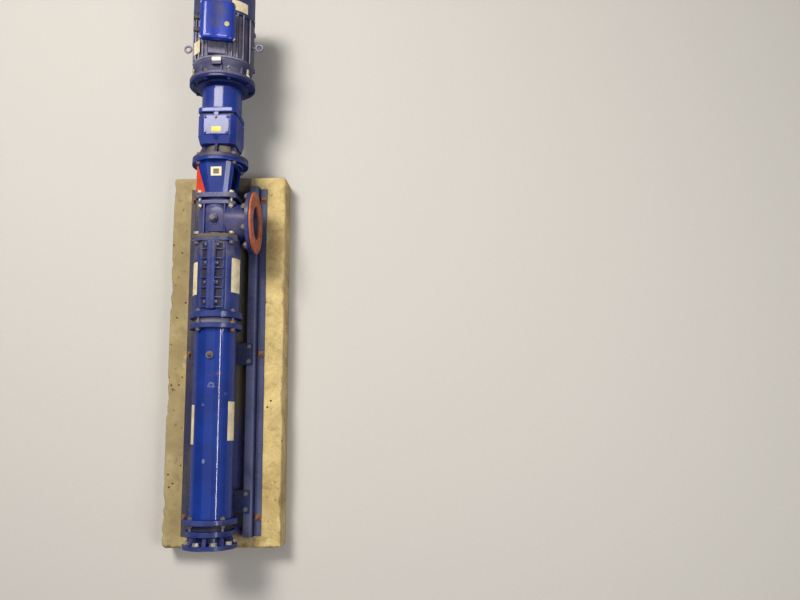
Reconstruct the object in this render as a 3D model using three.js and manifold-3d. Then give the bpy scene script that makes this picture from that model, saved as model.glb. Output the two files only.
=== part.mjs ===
// Progressing cavity pump set: a single-screw pump with a flange gearbox and motor hung on its
// drive end, standing on pressed steel rails on a concrete plinth. Millimetres, +Z up.
// The pump axis runs along Y. Stations are distances along that axis from the discharge face
// towards the motor. The origin is on the floor, under the middle of the set's length.
import * as THREE from 'three';
import { mergeVertices } from 'three/addons/utils/BufferGeometryUtils.js';
import Module from 'manifold-3d';

const wasm = await Module();
wasm.setup();

// Driving dimensions
const SEAT = 0.3;
const SIDES = 36;
const FINE_SIDES = 40;

const PLINTH = { width: 540, height: 150, start: -32, end: 1700, chamfer: 12 };
const AXIS_ABOVE_PLINTH = 197;
const RAIL = { outer: 181.6, foot: 35.5, cap: 42, height: 55, sheet: 6, start: 24, end: 1640 };
const TIE = { stations: [70, 830, 1560], length: 60, height: 46, sheet: 6 };

const DISCHARGE_PORT = 51;
const DISCHARGE_FLANGE = { radius: 114.5, start: 0, end: 20 };
const COVER_FLANGE = { radius: 105, start: 55, end: 77 };
const COVER_NECK = 70;

const STATOR = { radius: 91, wall: 8, start: 77.3, end: 981.7, bore: 61 };
const CLAMP = { radius: 116, thickness: 23, dischargeStart: 102, driveStart: 935 };
const ROTOR = { radius: 36, throw: 12, pitch: 150, start: 90, end: 1000, stepsPerTurn: 10, sides: 12 };
const ROD = { radius: 16, head: 36, headLength: 70 };

const ACCESS = { radius: 103, bore: 88, start: 982, end: 1338, flange: 115, flangeDepth: 27 };
const SEAM = { halfWidth: 20, top: 125, margin: 6, inner: 80 };
const SEAM_RIB = { pitch: 43, count: 7, reach: 52, top: 109, inner: 72, sheet: 5 };
const JOINT_FLANGE = { half: 103, depth: 16, corner: 38 };

const SUCTION = { radius: 90, bore: 78, end: 1509, port: 75, centre: 1422, neck: 82.5 };
const SUCTION_FLANGE = { radius: 140, start: 144, end: 162, gasket: 10 };
const PLUG_BOSS = { radius: 20, top: 110 };
const BACK_FLANGE = { half: 90, depth: 17, corner: 32 };
const SEAL = { plate: 78, plateDepth: 12.4, hub: 46, hubDepth: 70 };
const SHAFT_RADIUS = 24;

const LANTERN = { start: 1522, neckHalf: 93, neckDepth: 22, disc: 126, discStart: 1688, end: 1703 };
const LANTERN_NECK = { flat: 38, width: 62, height: 86, corner: 30 };
const LANTERN_WIDE = { flat: 58, width: 84, height: 98 };
const LANTERN_WALL = 11;
const WINDOW = { start: 1556, end: 1673, low: -52, high: 52 };
const GUARD = { start: 1548, end: 1677, sheet: 2.5, face: -97, fold: 10, half: 56, tabEnd: -50 };

const GEARBOX = { start: 1703.3, flange: 125, flangeEnd: 1721, bodyStart: 1773, slot: 1905, end: 1940.7 };
const GEARBOX_NECK = { radius: 68, ribs: 6, ribHalf: 7, ribReach: 92 };
const GEARBOX_SLOT = { depth: 16, length: 12, left: -14, right: 10, margin: 14 };
const GEARBOX_BODY = { half: 88, top: 100, bottom: -104, chamfer: 24 };
const GEARBOX_NOSE = { end: 1811, inset: 8, drop: 14 };
const INPUT = { start: 1941, radius: 90, shoulderStart: 2051, shoulder: 118, flangeStart: 2066, end: 2081 };
const MOTOR_FLANGE_RADIUS = 150;
const SHIELD = { start: 2081.3, flangeEnd: 2097, end: 2161.7, front: 116, back: 137 };
const FRAME = { start: 2162, end: 2401.7, ends: 14, root: 122, tip: 139 };
const FINS = { count: 13, pitch: 22, thickness: 6, sideBar: 14 };
const COWL = { start: 2392, end: 2544, radius: 142, inlet: 104, sheet: 4, round: 22 };
const FAN = { hub: 30, hubLength: 30, blade: 110, blades: 7, bladeSheet: 4, bladeLength: 34 };
const GRILLE = { rings: 4, ringWidth: 3.5, ringDepth: 3, spokes: 6 };

const BOX = { lean: 14, shift: -30, width: 141, length: 168, start: 2221, floor: 156, top: 184 };
const BOX_PAD = { half: 40, low: 90, top: 144, start: 2174, end: 2381 };
const BOX_NECK = { half: 37, inset: 12 };
const LID = { width: 155, length: 182, start: 2214, top: 214, shoulder: 30, rim: 10, turns: 5 };
const EYE = { offset: 168, station: 2267, ring: 15, wire: 5, shank: 12 };
const CABLE_GLAND = { radius: 13, length: 34, stations: [2265, 2325] };
const PROBE = { station: 818, radius: 12, length: 32, boss: 14, sink: 6 };
const DRAIN_PLUG = { radius: 15, length: 16 };
const SADDLE = { plate: 10, reach: 138, overhang: 20, depth: 0.78 };
const SADDLES = {
  discharge_saddle: { start: 150, end: 210, half: 70 },
  stator_saddle: { start: 810, end: 870, half: 70 },
  suction_saddle: { start: 1372, end: 1472, half: 60 },
};
const PLATE_SHEET = 1.2;
const PLATES = {
  casing_plate_right: { radius: ACCESS.radius, start: 1095, end: 1249, from: 50, to: 84 },
  casing_plate_left: { radius: ACCESS.radius, start: 1084, end: 1230, from: -80, to: -42 },
  stator_plate_right: { radius: STATOR.radius, start: 452, end: 619, from: 56, to: 88 },
  stator_plate_left: { radius: STATOR.radius, start: 437, end: 605, from: -74, to: -48 },
};

// Colours
const PUMP_BLUE = 0x1b3ba8;
const DUSTY_BLUE = 0x4a5288;
const STEEL_BLUE = 0x3d4670;
const CONCRETE = 0xb9a26c;
const RUBBER = 0x1c1c1e;
const BRIGHT_STEEL = 0xb8bcc0;
const GUARD_RED = 0xdf4a2c;
const RUSTY_GASKET = 0xb4552c;
const LABEL_CREAM = 0xf0e6c8;
const BRASS = 0xa67a3a;
const CABLE_BLACK = 0x222226;

const painted = (color, roughness = 0.45) =>
  new THREE.MeshStandardMaterial({ color, roughness, metalness: 0 });
const metal = (color, roughness = 0.35) => new THREE.MeshStandardMaterial({ color, roughness, metalness: 1 });

// The set's middle lies over the origin.
const MIDDLE = (PLINTH.start + COWL.end) / 2;
const AXIS_HEIGHT = PLINTH.height + AXIS_ABOVE_PLINTH;

const object = new THREE.Group();
const ground = new THREE.Group();
ground.position.set(0, -MIDDLE, 0);
const set = new THREE.Group();
set.position.set(0, -MIDDLE, AXIS_HEIGHT);
object.add(ground, set);

// Shared vertices, without the triangles that close up at a pole, facing outwards.
function shell(geometry) {
  const bare = geometry.clone();
  bare.deleteAttribute('normal');
  bare.deleteAttribute('uv');
  const merged = mergeVertices(bare, 1e-3);
  const at = merged.getAttribute('position');
  const index = merged.index.array;
  const triangles = [];
  const [a, b, c] = [new THREE.Vector3(), new THREE.Vector3(), new THREE.Vector3()];
  let volume = 0;
  for (let i = 0; i < index.length; i += 3) {
    const [p, q, r] = [index[i], index[i + 1], index[i + 2]];
    if (p === q || q === r || r === p) continue;
    triangles.push(p, q, r);
    a.fromBufferAttribute(at, p);
    b.fromBufferAttribute(at, q);
    c.fromBufferAttribute(at, r);
    volume += a.dot(b.cross(c));
  }
  if (volume < 0) triangles.reverse();
  merged.setIndex(triangles);
  return merged;
}

function solid(geometry) {
  const closed = shell(geometry);
  return new wasm.Manifold(new wasm.Mesh({
    numProp: 3,
    vertProperties: new Float32Array(closed.getAttribute('position').array),
    triVerts: new Uint32Array(closed.index.array),
  }));
}

function surface(manifold) {
  const mesh = manifold.getMesh();
  const geometry = new THREE.BufferGeometry();
  geometry.setAttribute('position', new THREE.BufferAttribute(new Float32Array(mesh.vertProperties), 3));
  geometry.setIndex(new THREE.BufferAttribute(new Uint32Array(mesh.triVerts), 1));
  return geometry;
}

const join = (...shapes) => shapes.map(solid).reduce((whole, next) => whole.add(next));
const cut = (whole, ...tools) => tools.reduce((rest, tool) => rest.subtract(solid(tool)), whole);

function add(group, name, geometry, material) {
  const mesh = new THREE.Mesh(shell(geometry), material);
  mesh.name = name;
  group.add(mesh);
  return mesh;
}

// A body of revolution about the pump axis, from pairs of radius and station.
const turned = (profile, sides = SIDES) =>
  new THREE.LatheGeometry(profile.map(([radius, station]) => new THREE.Vector2(radius, station)), sides);

const ring = (inner, outer, start, end, sides = SIDES) =>
  turned([[inner, start], [outer, start], [outer, end], [inner, end], [inner, start]], sides);

const disc = (radius, start, end, sides = SIDES) =>
  turned([[0, start], [radius, start], [radius, end], [0, end]], sides);

// A box from its low and high corners.
function block([x0, y0, z0], [x1, y1, z1]) {
  const box = new THREE.BoxGeometry(x1 - x0, y1 - y0, z1 - z0);
  return box.translate((x0 + x1) / 2, (y0 + y1) / 2, (z0 + z1) / 2);
}

// An outline of (x, z) points carried along the pump axis.
function alongAxis(points, start, end) {
  const shape = new THREE.Shape(points.map(([x, z]) => new THREE.Vector2(x, z)));
  const geometry = new THREE.ExtrudeGeometry(shape, { depth: end - start, bevelEnabled: false });
  return geometry.rotateX(Math.PI / 2).translate(0, end, 0);
}

// A round bar across the axis, along X at one station.
const acrossBar = (radius, start, end, station, sides = SIDES) =>
  disc(radius, start, end, sides).rotateZ(-Math.PI / 2).translate(0, station, 0);

// A square outline with cut corners, from its half width and the length cut off each side.
function cutSquare(half, corner, low = -half, high = half) {
  return [
    [-half + corner, low], [half - corner, low], [half, low + corner], [half, high - corner],
    [half - corner, high], [-half + corner, high], [-half, high - corner], [-half, low + corner],
  ];
}

// Flat-sided body lofted between two outlines with the same number of points.
function lofted(startOutline, endOutline, start, end) {
  const count = startOutline.length;
  const positions = [];
  const place = (outline, station, i) => [outline[i % count][0], station, outline[i % count][1]];
  const middle = (station) => [0, station, 0];
  for (let i = 0; i < count; i += 1) {
    const a = place(startOutline, start, i);
    const b = place(startOutline, start, i + 1);
    const c = place(endOutline, end, i + 1);
    const d = place(endOutline, end, i);
    positions.push(...a, ...b, ...c, ...a, ...c, ...d);
    positions.push(...middle(start), ...b, ...a, ...middle(end), ...d, ...c);
  }
  const geometry = new THREE.BufferGeometry();
  geometry.setAttribute('position', new THREE.Float32BufferAttribute(positions, 3));
  return geometry;
}

// Plinth and base

function plinth() {
  const half = PLINTH.width / 2;
  const { height, chamfer } = PLINTH;
  const section = [
    [-half, 0], [half, 0], [half, height - chamfer], [half - chamfer, height],
    [-half + chamfer, height], [-half, height - chamfer],
  ];
  add(ground, 'concrete_plinth', alongAxis(section, PLINTH.start, PLINTH.end), painted(CONCRETE, 0.95));
}

// Folded rail: a foot turned outwards on the plinth, a web, and a cap turned inwards.
function railSection(side) {
  const { outer, foot, cap, height, sheet } = RAIL;
  const web = outer - foot;
  const points = [
    [web, 0], [outer, 0], [outer, sheet], [web + sheet, sheet], [web + sheet, height],
    [web + sheet - cap, height], [web + sheet - cap, height - sheet], [web, height - sheet],
  ];
  return points.map(([x, z]) => [side * x, z + PLINTH.height + SEAT]);
}

function rails() {
  for (const [name, side] of [['base_rail_left', -1], ['base_rail_right', 1]]) {
    add(ground, name, alongAxis(railSection(side), RAIL.start, RAIL.end), painted(STEEL_BLUE, 0.6));
  }
}

// Channel ties stand between the webs, open at the bottom.
function ties() {
  const half = RAIL.outer - RAIL.foot - SEAT;
  const floor = PLINTH.height + SEAT;
  TIE.stations.forEach((station, i) => {
    const outer = block([-half, station, floor], [half, station + TIE.length, floor + TIE.height]);
    const inner = block(
      [-half - 1, station + TIE.sheet, floor - 1],
      [half + 1, station + TIE.length - TIE.sheet, floor + TIE.height - TIE.sheet],
    );
    add(ground, `base_tie_${i + 1}`, surface(cut(solid(outer), inner)), painted(STEEL_BLUE, 0.6));
  });
}

// A saddle plate bridges the rails' caps and rises to a round body of the given radius.
function saddle(name, radius, ...clearances) {
  const { start, end, half: halfWidth } = SADDLES[name];
  const capTop = RAIL.height - AXIS_ABOVE_PLINTH + SEAT;
  const plateTop = capTop + SADDLE.plate;
  const { reach, overhang } = SADDLE;
  const plate = block([-reach, start - overhang, capTop + SEAT], [reach, end + overhang, plateTop]);
  const rise = block([-halfWidth, start, plateTop - 2], [halfWidth, end, -radius * SADDLE.depth]);
  const seat = disc(radius + SEAT, start - 30, end + 30, FINE_SIDES);
  add(set, name, surface(cut(join(plate, rise), seat, ...clearances)), painted(STEEL_BLUE, 0.6));
}

// Pump

function dischargeCover() {
  const { radius, start, end } = DISCHARGE_FLANGE;
  const profile = [
    [DISCHARGE_PORT, start], [radius, start], [radius, end], [COVER_NECK, end],
    [COVER_NECK, COVER_FLANGE.start], [COVER_FLANGE.radius, COVER_FLANGE.start],
    [COVER_FLANGE.radius, COVER_FLANGE.end], [STATOR.bore, COVER_FLANGE.end],
    [DISCHARGE_PORT, COVER_FLANGE.start - 20], [DISCHARGE_PORT, start],
  ];
  add(set, 'discharge_cover', turned(profile), painted(PUMP_BLUE));
}

function clampRing(name, start) {
  const clamp = ring(STATOR.radius + SEAT, CLAMP.radius, start, start + CLAMP.thickness);
  add(set, name, clamp, painted(PUMP_BLUE));
}

function stator() {
  const inner = STATOR.radius - STATOR.wall;
  add(set, 'stator_tube', ring(inner, STATOR.radius, STATOR.start, STATOR.end), painted(PUMP_BLUE, 0.3));
  add(set, 'stator_lining', ring(STATOR.bore, inner - SEAT, STATOR.start, STATOR.end), painted(RUBBER, 0.8));
}

// Round sections whose centres wind about an axis that is itself off the bore's axis.
function rotor() {
  const { radius, throw: eccentric, pitch, start, end, stepsPerTurn, sides } = ROTOR;
  const steps = Math.round(((end - start) / pitch) * stepsPerTurn);
  const positions = [];
  const centre = (step) => {
    const turn = (step / stepsPerTurn) * 2 * Math.PI;
    const station = start + ((end - start) * step) / steps;
    return [eccentric * (Math.cos(turn) + 1), station, eccentric * Math.sin(turn)];
  };
  const point = (step, side) => {
    const [x, station, z] = centre(step);
    const angle = (side / sides) * 2 * Math.PI;
    return [x + radius * Math.cos(angle), station, z + radius * Math.sin(angle)];
  };
  for (let side = 0; side < sides; side += 1) {
    for (let step = 0; step < steps; step += 1) {
      const [a, b] = [point(step, side), point(step, (side + 1) % sides)];
      const [c, d] = [point(step + 1, (side + 1) % sides), point(step + 1, side)];
      positions.push(...a, ...c, ...b, ...a, ...d, ...c);
    }
    const next = (side + 1) % sides;
    positions.push(...centre(0), ...point(0, side), ...point(0, next));
    positions.push(...centre(steps), ...point(steps, next), ...point(steps, side));
  }
  const geometry = new THREE.BufferGeometry();
  geometry.setAttribute('position', new THREE.Float32BufferAttribute(positions, 3));
  add(set, 'rotor', geometry, metal(BRIGHT_STEEL, 0.15));
}

// The rod carries the rotor from the drive shaft, with a joint head at each end.
function couplingRod() {
  const start = ROTOR.end + SEAT;
  const end = SUCTION.centre;
  const { radius, head, headLength } = ROD;
  const profile = [
    [0, start], [head, start], [head, start + headLength], [radius, start + headLength + 12],
    [radius, end - headLength - 12], [head, end - headLength], [head, end], [0, end],
  ];
  add(set, 'coupling_rod', turned(profile, 24), metal(BRIGHT_STEEL, 0.3));
}

function driveShaft() {
  const shaft = disc(SHAFT_RADIUS, SUCTION.centre + SEAT, GEARBOX.start - SEAT, 24);
  add(set, 'drive_shaft', shaft, metal(BRIGHT_STEEL, 0.3));
}

// Two halves bolted across an upright seam, with ribs between the bolts.
function accessCasing() {
  const { radius, bore, start, end, flange, flangeDepth } = ACCESS;
  const barrelEnd = end - JOINT_FLANGE.depth;
  const barrel = disc(radius, start, end - 1);
  const drive = alongAxis(cutSquare(JOINT_FLANGE.half, JOINT_FLANGE.corner), barrelEnd, end);
  const parts = [barrel, drive, disc(flange, start, start + flangeDepth)];
  const seamStart = start + flangeDepth + SEAM.margin;
  const seamEnd = barrelEnd - SEAM.margin;
  for (const side of [-1, 1]) {
    const low = Math.min(side * SEAM.inner, side * SEAM.top);
    const high = Math.max(side * SEAM.inner, side * SEAM.top);
    parts.push(block([-SEAM.halfWidth, seamStart, low], [SEAM.halfWidth, seamEnd, high]));
    const ribLow = Math.min(side * SEAM_RIB.inner, side * SEAM_RIB.top);
    const ribHigh = Math.max(side * SEAM_RIB.inner, side * SEAM_RIB.top);
    for (let i = 0; i < SEAM_RIB.count; i += 1) {
      const station = seamStart + SEAM.margin + i * SEAM_RIB.pitch;
      const ribEnd = station + SEAM_RIB.sheet;
      parts.push(block([-SEAM_RIB.reach, station, ribLow], [SEAM_RIB.reach, ribEnd, ribHigh]));
    }
  }
  const whole = cut(join(...parts), disc(bore, start - 5, end + 5));
  const reach = 200;
  const halves = [['access_casing_left', -reach, -SEAT / 2], ['access_casing_right', SEAT / 2, reach]];
  for (const [name, low, high] of halves) {
    const keep = solid(block([low, start - 10, -reach], [high, end + 10, reach]));
    add(set, name, surface(whole.intersect(keep)), painted(PUMP_BLUE, 0.4));
  }
}

// Cast casing with a square joint flange, a square back flange and a conical neck to the inlet.
function suctionCasing() {
  const start = ACCESS.end + SEAT;
  const { radius, bore, end, port, centre, neck } = SUCTION;
  const { half, depth, corner } = JOINT_FLANGE;
  const front = alongAxis(cutSquare(half, corner), start, start + depth);
  const back = alongAxis(cutSquare(BACK_FLANGE.half, BACK_FLANGE.corner), end - BACK_FLANGE.depth, end);
  const body = disc(radius, start, end - 1);
  const { radius: flangeRadius, start: flangeStart, end: flangeEnd } = SUCTION_FLANGE;
  const flange = acrossBar(flangeRadius, flangeStart, flangeEnd, centre, FINE_SIDES);
  const neckBar = acrossBar(neck, 0, flangeStart + 1, centre);
  const plugBoss = disc(PLUG_BOSS.radius, 0, PLUG_BOSS.top, 16).rotateX(Math.PI / 2).translate(0, centre, 0);
  const whole = join(body, front, back, flange, neckBar, plugBoss);
  const chamber = disc(bore, start - 5, end - BACK_FLANGE.depth);
  const backHole = disc(SEAL.hub - 6, end - 40, end + 5);
  const inlet = acrossBar(port, 0, flangeEnd + 5, centre);
  add(set, 'suction_casing', surface(cut(whole, chamber, backHole, inlet)), painted(DUSTY_BLUE, 0.55));
}

function suctionGasket() {
  const start = SUCTION_FLANGE.end + SEAT;
  const gasket = ring(SUCTION.port, SUCTION_FLANGE.radius, start, start + SUCTION_FLANGE.gasket, FINE_SIDES);
  gasket.rotateZ(-Math.PI / 2).translate(0, SUCTION.centre, 0);
  add(set, 'suction_gasket', gasket, painted(RUSTY_GASKET, 0.9));
}

function sealHousing() {
  const start = SUCTION.end + SEAT;
  const plateEnd = start + SEAL.plateDepth;
  const hole = SHAFT_RADIUS + SEAT;
  const profile = [
    [hole, start], [SEAL.plate, start], [SEAL.plate, plateEnd], [SEAL.hub, plateEnd],
    [SEAL.hub, plateEnd + SEAL.hubDepth], [hole, plateEnd + SEAL.hubDepth], [hole, start],
  ];
  add(set, 'seal_housing', turned(profile, 32), painted(DUSTY_BLUE, 0.5));
}

// Lantern with a square neck flange, a tapering flat-topped body, and a round disc.
function lanternOutline(flat, width, height) {
  const ridge = width - flat;
  return [
    [-flat, -height], [flat, -height], [width, -height + ridge], [width, height - ridge],
    [flat, height], [-flat, height], [-width, height - ridge], [-width, -height + ridge],
  ];
}

function lantern() {
  const { start, neckHalf, neckDepth, disc: radius, discStart, end } = LANTERN;
  const inner = lanternBody(-LANTERN_WALL, start - 3, end + 3);
  const neck = alongAxis(cutSquare(neckHalf, LANTERN_NECK.corner), start, start + neckDepth);
  const wheel = disc(radius, discStart, end);
  const window = block([-150, WINDOW.start, WINDOW.low], [150, WINDOW.end, WINDOW.high]);
  const shape = cut(join(lanternBody(0), neck, wheel), inner, window);
  const cavity = solid(disc(SEAL.plate + 2, start - 5, start + 5, 32));
  add(set, 'lantern', surface(shape.subtract(cavity)), painted(PUMP_BLUE, 0.4));
}

// The tapering body without its hollow, grown all round by a margin.
function lanternBody(margin, start = LANTERN.start + LANTERN.neckDepth - 2, end = LANTERN.discStart + 2) {
  const grown = ({ flat, width, height }) => lanternOutline(flat + margin, width + margin, height + margin);
  return lofted(grown(LANTERN_NECK), grown(LANTERN_WIDE), start, end);
}

// Folded sheet over the left window, its edges trimmed to the lantern's tapering side.
function lanternGuard() {
  const { start, end, sheet, face, fold, half, tabEnd } = GUARD;
  const outline = [
    [tabEnd, half], [face + fold, half], [face, half - fold],
    [face, fold - half], [face + fold, -half], [tabEnd, -half],
    [tabEnd, sheet - half], [face + fold, sheet - half], [face + sheet, fold - half],
    [face + sheet, half - fold], [face + fold, half - sheet], [tabEnd, half - sheet],
  ];
  const sheetBody = solid(alongAxis(outline, start, end));
  add(set, 'lantern_guard', surface(cut(sheetBody, lanternBody(SEAT))), painted(GUARD_RED, 0.5));
}

// Gearbox

function gearboxFlange() {
  const { start, flange, flangeEnd, bodyStart } = GEARBOX;
  const neck = bodyStart - SEAT;
  const { radius, ribs, ribHalf, ribReach } = GEARBOX_NECK;
  const parts = [disc(flange, start, flangeEnd), disc(radius, start, neck)];
  const outline = [[-ribHalf, 0], [ribHalf, 0], [ribHalf, ribReach], [-ribHalf, ribReach]];
  for (let i = 0; i < ribs; i += 1) {
    parts.push(alongAxis(outline, flangeEnd - 2, neck).rotateY((i * 2 * Math.PI) / ribs));
  }
  add(set, 'gearbox_output_flange', surface(join(...parts)), painted(DUSTY_BLUE, 0.5));
}

function gearboxHousing() {
  const { bodyStart, slot, end } = GEARBOX;
  const { half, top, bottom, chamfer } = GEARBOX_BODY;
  const { end: noseEnd, inset, drop } = GEARBOX_NOSE;
  const full = cutSquare(half, chamfer, bottom, top);
  const nose = cutSquare(half - inset, chamfer, bottom + inset, top - drop);
  const body = join(lofted(nose, full, bodyStart, noseEnd), alongAxis(full, noseEnd - 1, end));
  const { depth, length, left, right, margin } = GEARBOX_SLOT;
  const groove = (x0, x1) => block([x0, slot, top - depth], [x1, slot + length, top + depth]);
  const cutOut = cut(body, groove(margin - half, left), groove(right, half - margin));
  add(set, 'gearbox_housing', surface(cutOut), painted(DUSTY_BLUE, 0.5));
}

function inputAdapter() {
  const { start, radius, shoulderStart, shoulder, flangeStart, end } = INPUT;
  const profile = [
    [0, start], [radius, start], [radius, shoulderStart], [shoulder, shoulderStart + 8],
    [shoulder, flangeStart], [MOTOR_FLANGE_RADIUS, flangeStart], [MOTOR_FLANGE_RADIUS, end], [0, end],
  ];
  add(set, 'gearbox_input_adapter', turned(profile), painted(PUMP_BLUE, 0.35));
}

// Motor

function endShield() {
  const { start, flangeEnd, end, front, back } = SHIELD;
  const profile = [
    [0, start], [MOTOR_FLANGE_RADIUS, start], [MOTOR_FLANGE_RADIUS, flangeEnd], [front, flangeEnd + 4],
    [front + 10, end - 30], [back, end - 14], [back, end], [0, end],
  ];
  add(set, 'motor_end_shield', turned(profile), painted(DUSTY_BLUE, 0.6));
}

// Upright cooling fins whose tips lie on a circle, on a round frame with a bar along each side.
function finOutline() {
  const { root, tip } = FRAME;
  const { count, pitch, thickness, sideBar } = FINS;
  const rise = (radius, x) => Math.sqrt(Math.max(radius * radius - x * x, 0));
  const upper = [];
  for (let i = (count - 1) / 2; i >= -(count - 1) / 2; i -= 1) {
    for (const side of [1, -1]) {
      const x = i * pitch + (side * thickness) / 2;
      const low = Math.max(rise(root, x), sideBar);
      const high = Math.max(rise(tip, x), low + 2);
      upper.push([x, side > 0 ? low : high], [x, side > 0 ? high : low]);
    }
  }
  const lower = upper.map(([x, z]) => [-x, -z]);
  return [...upper, ...lower];
}

function motorFrame() {
  const { start, end, ends, tip } = FRAME;
  const fins = alongAxis(finOutline(), start + ends - 2, end - ends + 2);
  const spigot = COWL.radius - COWL.sheet - SEAT;
  const body = join(fins, disc(tip - 2, start, start + ends), disc(spigot, end - ends, end));
  const { half, low, top, start: padStart, end: padEnd } = BOX_PAD;
  const pad = block([BOX.shift - half, padStart, low], [BOX.shift + half, padEnd, top]);
  const turnedPad = pad.rotateY(THREE.MathUtils.degToRad(BOX.lean));
  add(set, 'motor_frame', surface(body.add(solid(turnedPad))), painted(DUSTY_BLUE, 0.6));
}

function terminalBox() {
  const lean = new THREE.Group();
  lean.rotation.y = THREE.MathUtils.degToRad(BOX.lean);
  set.add(lean);
  const boxEnd = BOX.start + BOX.length;
  const left = BOX.shift - BOX.width / 2;
  const right = BOX.shift + BOX.width / 2;
  const neckLow = [BOX.shift - BOX_NECK.half, BOX.start + BOX_NECK.inset, BOX_PAD.top + SEAT];
  const neck = block(neckLow, [BOX.shift + BOX_NECK.half, boxEnd - BOX_NECK.inset, BOX.floor + 2]);
  const tray = block([left, BOX.start, BOX.floor], [right, boxEnd, BOX.top]);
  add(lean, 'terminal_box', surface(join(neck, tray)), painted(PUMP_BLUE, 0.45));
  const lidHalf = LID.width / 2;
  const lidLow = BOX.top + SEAT;
  const outline = [[BOX.shift - lidHalf, lidLow], [BOX.shift + lidHalf, lidLow]];
  for (const side of [1, -1]) {
    for (let i = 0; i <= LID.turns; i += 1) {
      const t = side === 1 ? i / LID.turns : 1 - i / LID.turns;
      const angle = (t * Math.PI) / 2;
      const x = lidHalf - LID.shoulder + LID.shoulder * Math.cos(angle);
      const z = LID.top - (LID.top - lidLow - LID.rim) * (1 - Math.sin(angle));
      outline.push([BOX.shift + side * x, z]);
    }
  }
  const lid = alongAxis(outline, LID.start, LID.start + LID.length);
  add(lean, 'terminal_box_lid', lid, painted(PUMP_BLUE, 0.4));
  CABLE_GLAND.stations.forEach((station, i) => {
    const end = left - SEAT;
    const nut = acrossBar(CABLE_GLAND.radius, end - CABLE_GLAND.length, end, station, 12);
    nut.translate(0, 0, (BOX.floor + BOX.top) / 2);
    add(lean, `cable_gland_${i + 1}`, nut, painted(CABLE_BLACK, 0.6));
  });
}

// Rings stand on short shanks at the frame's sides.
function liftingEyes() {
  const { offset, station, ring: radius, wire, shank } = EYE;
  for (const [name, side] of [['lifting_eye_left', -1], ['lifting_eye_right', 1]]) {
    const inner = FINS.pitch * ((FINS.count - 1) / 2) + FINS.thickness / 2 + SEAT;
    const torus = new THREE.TorusGeometry(radius, wire, 8, 20).translate(side * offset, station, 0);
    const stem = block(
      [side > 0 ? inner : -offset + radius - 1, station - shank / 2, -wire],
      [side > 0 ? offset - radius + 1 : -inner, station + shank / 2, wire],
    );
    add(set, name, surface(join(torus, stem)), painted(DUSTY_BLUE, 0.6));
  }
}

function fanCowl() {
  const { start, end, radius, inlet, sheet, round } = COWL;
  const corner = [];
  const steps = 4;
  for (let i = 0; i <= steps; i += 1) {
    const angle = (i / steps) * (Math.PI / 2);
    corner.push([radius - round + round * Math.cos(angle), end - round + round * Math.sin(angle)]);
  }
  const profile = [
    [radius - sheet, start], [radius, start], ...corner, [inlet, end], [inlet, end - sheet],
    [radius - round, end - sheet], [radius - sheet, end - round], [radius - sheet, start],
  ];
  add(set, 'fan_cowl', turned(profile), painted(PUMP_BLUE, 0.5));
}

function fanGrille() {
  const { rings, ringWidth, ringDepth, spokes } = GRILLE;
  const back = COWL.end - ringDepth;
  const outer = COWL.inlet - SEAT;
  const parts = [disc(12, back, COWL.end, 16)];
  for (let i = 0; i < rings; i += 1) {
    const radius = outer - (i * (outer - 12)) / rings;
    parts.push(ring(radius - ringWidth, radius, back, COWL.end));
  }
  for (let i = 0; i < spokes; i += 1) {
    const spoke = block([0, back, -ringWidth / 2], [outer - 1, COWL.end, ringWidth / 2]);
    parts.push(spoke.rotateY((i * 2 * Math.PI) / spokes));
  }
  add(set, 'fan_grille', surface(join(...parts)), painted(STEEL_BLUE, 0.5));
}

function coolingFan() {
  const { hub, hubLength, blade, blades, bladeSheet, bladeLength } = FAN;
  const start = FRAME.end + SEAT;
  const bladeStart = start + 22;
  const parts = [disc(hub, start, bladeStart + hubLength, 20)];
  for (let i = 0; i < blades; i += 1) {
    const [low, high] = [-bladeSheet / 2, bladeSheet / 2];
    const fin = block([hub - 4, bladeStart, low], [blade, bladeStart + bladeLength, high]);
    parts.push(fin.rotateY((i * 2 * Math.PI) / blades));
  }
  add(set, 'cooling_fan', surface(join(...parts)), painted(CABLE_BLACK, 0.5));
}

// Small fittings

function statorProbe() {
  const { station, radius, length, boss: bossLength, sink } = PROBE;
  const probe = disc(radius, 0, length, 12).rotateX(Math.PI / 2);
  const boss = disc(radius * 1.5, 0, bossLength, 12).rotateX(Math.PI / 2);
  const placed = surface(join(probe, boss)).translate(0, station, STATOR.radius - sink);
  const seat = disc(STATOR.radius + SEAT, station - 40, station + 40, SIDES);
  add(set, 'stator_probe', surface(cut(solid(placed), seat)), metal(BRASS, 0.5));
}

function suctionPlug() {
  const plug = disc(DRAIN_PLUG.radius, 0, DRAIN_PLUG.length, 6).rotateX(Math.PI / 2);
  add(set, 'suction_plug', plug.translate(0, SUCTION.centre, PLUG_BOSS.top + SEAT), metal(BRIGHT_STEEL, 0.5));
}

// Blank plates stand on the round bodies, bent to them.
function bentPlate(name) {
  const { radius, start, end, from, to } = PLATES[name];
  const steps = 6;
  const outline = [];
  for (const [r, forwards] of [[radius + SEAT + PLATE_SHEET, true], [radius + SEAT, false]]) {
    for (let i = 0; i <= steps; i += 1) {
      const t = forwards ? i / steps : 1 - i / steps;
      const angle = THREE.MathUtils.degToRad(from + t * (to - from));
      outline.push([r * Math.sin(angle), r * Math.cos(angle)]);
    }
  }
  add(set, name, alongAxis(outline, start, end), painted(LABEL_CREAM, 0.6));
}

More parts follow.
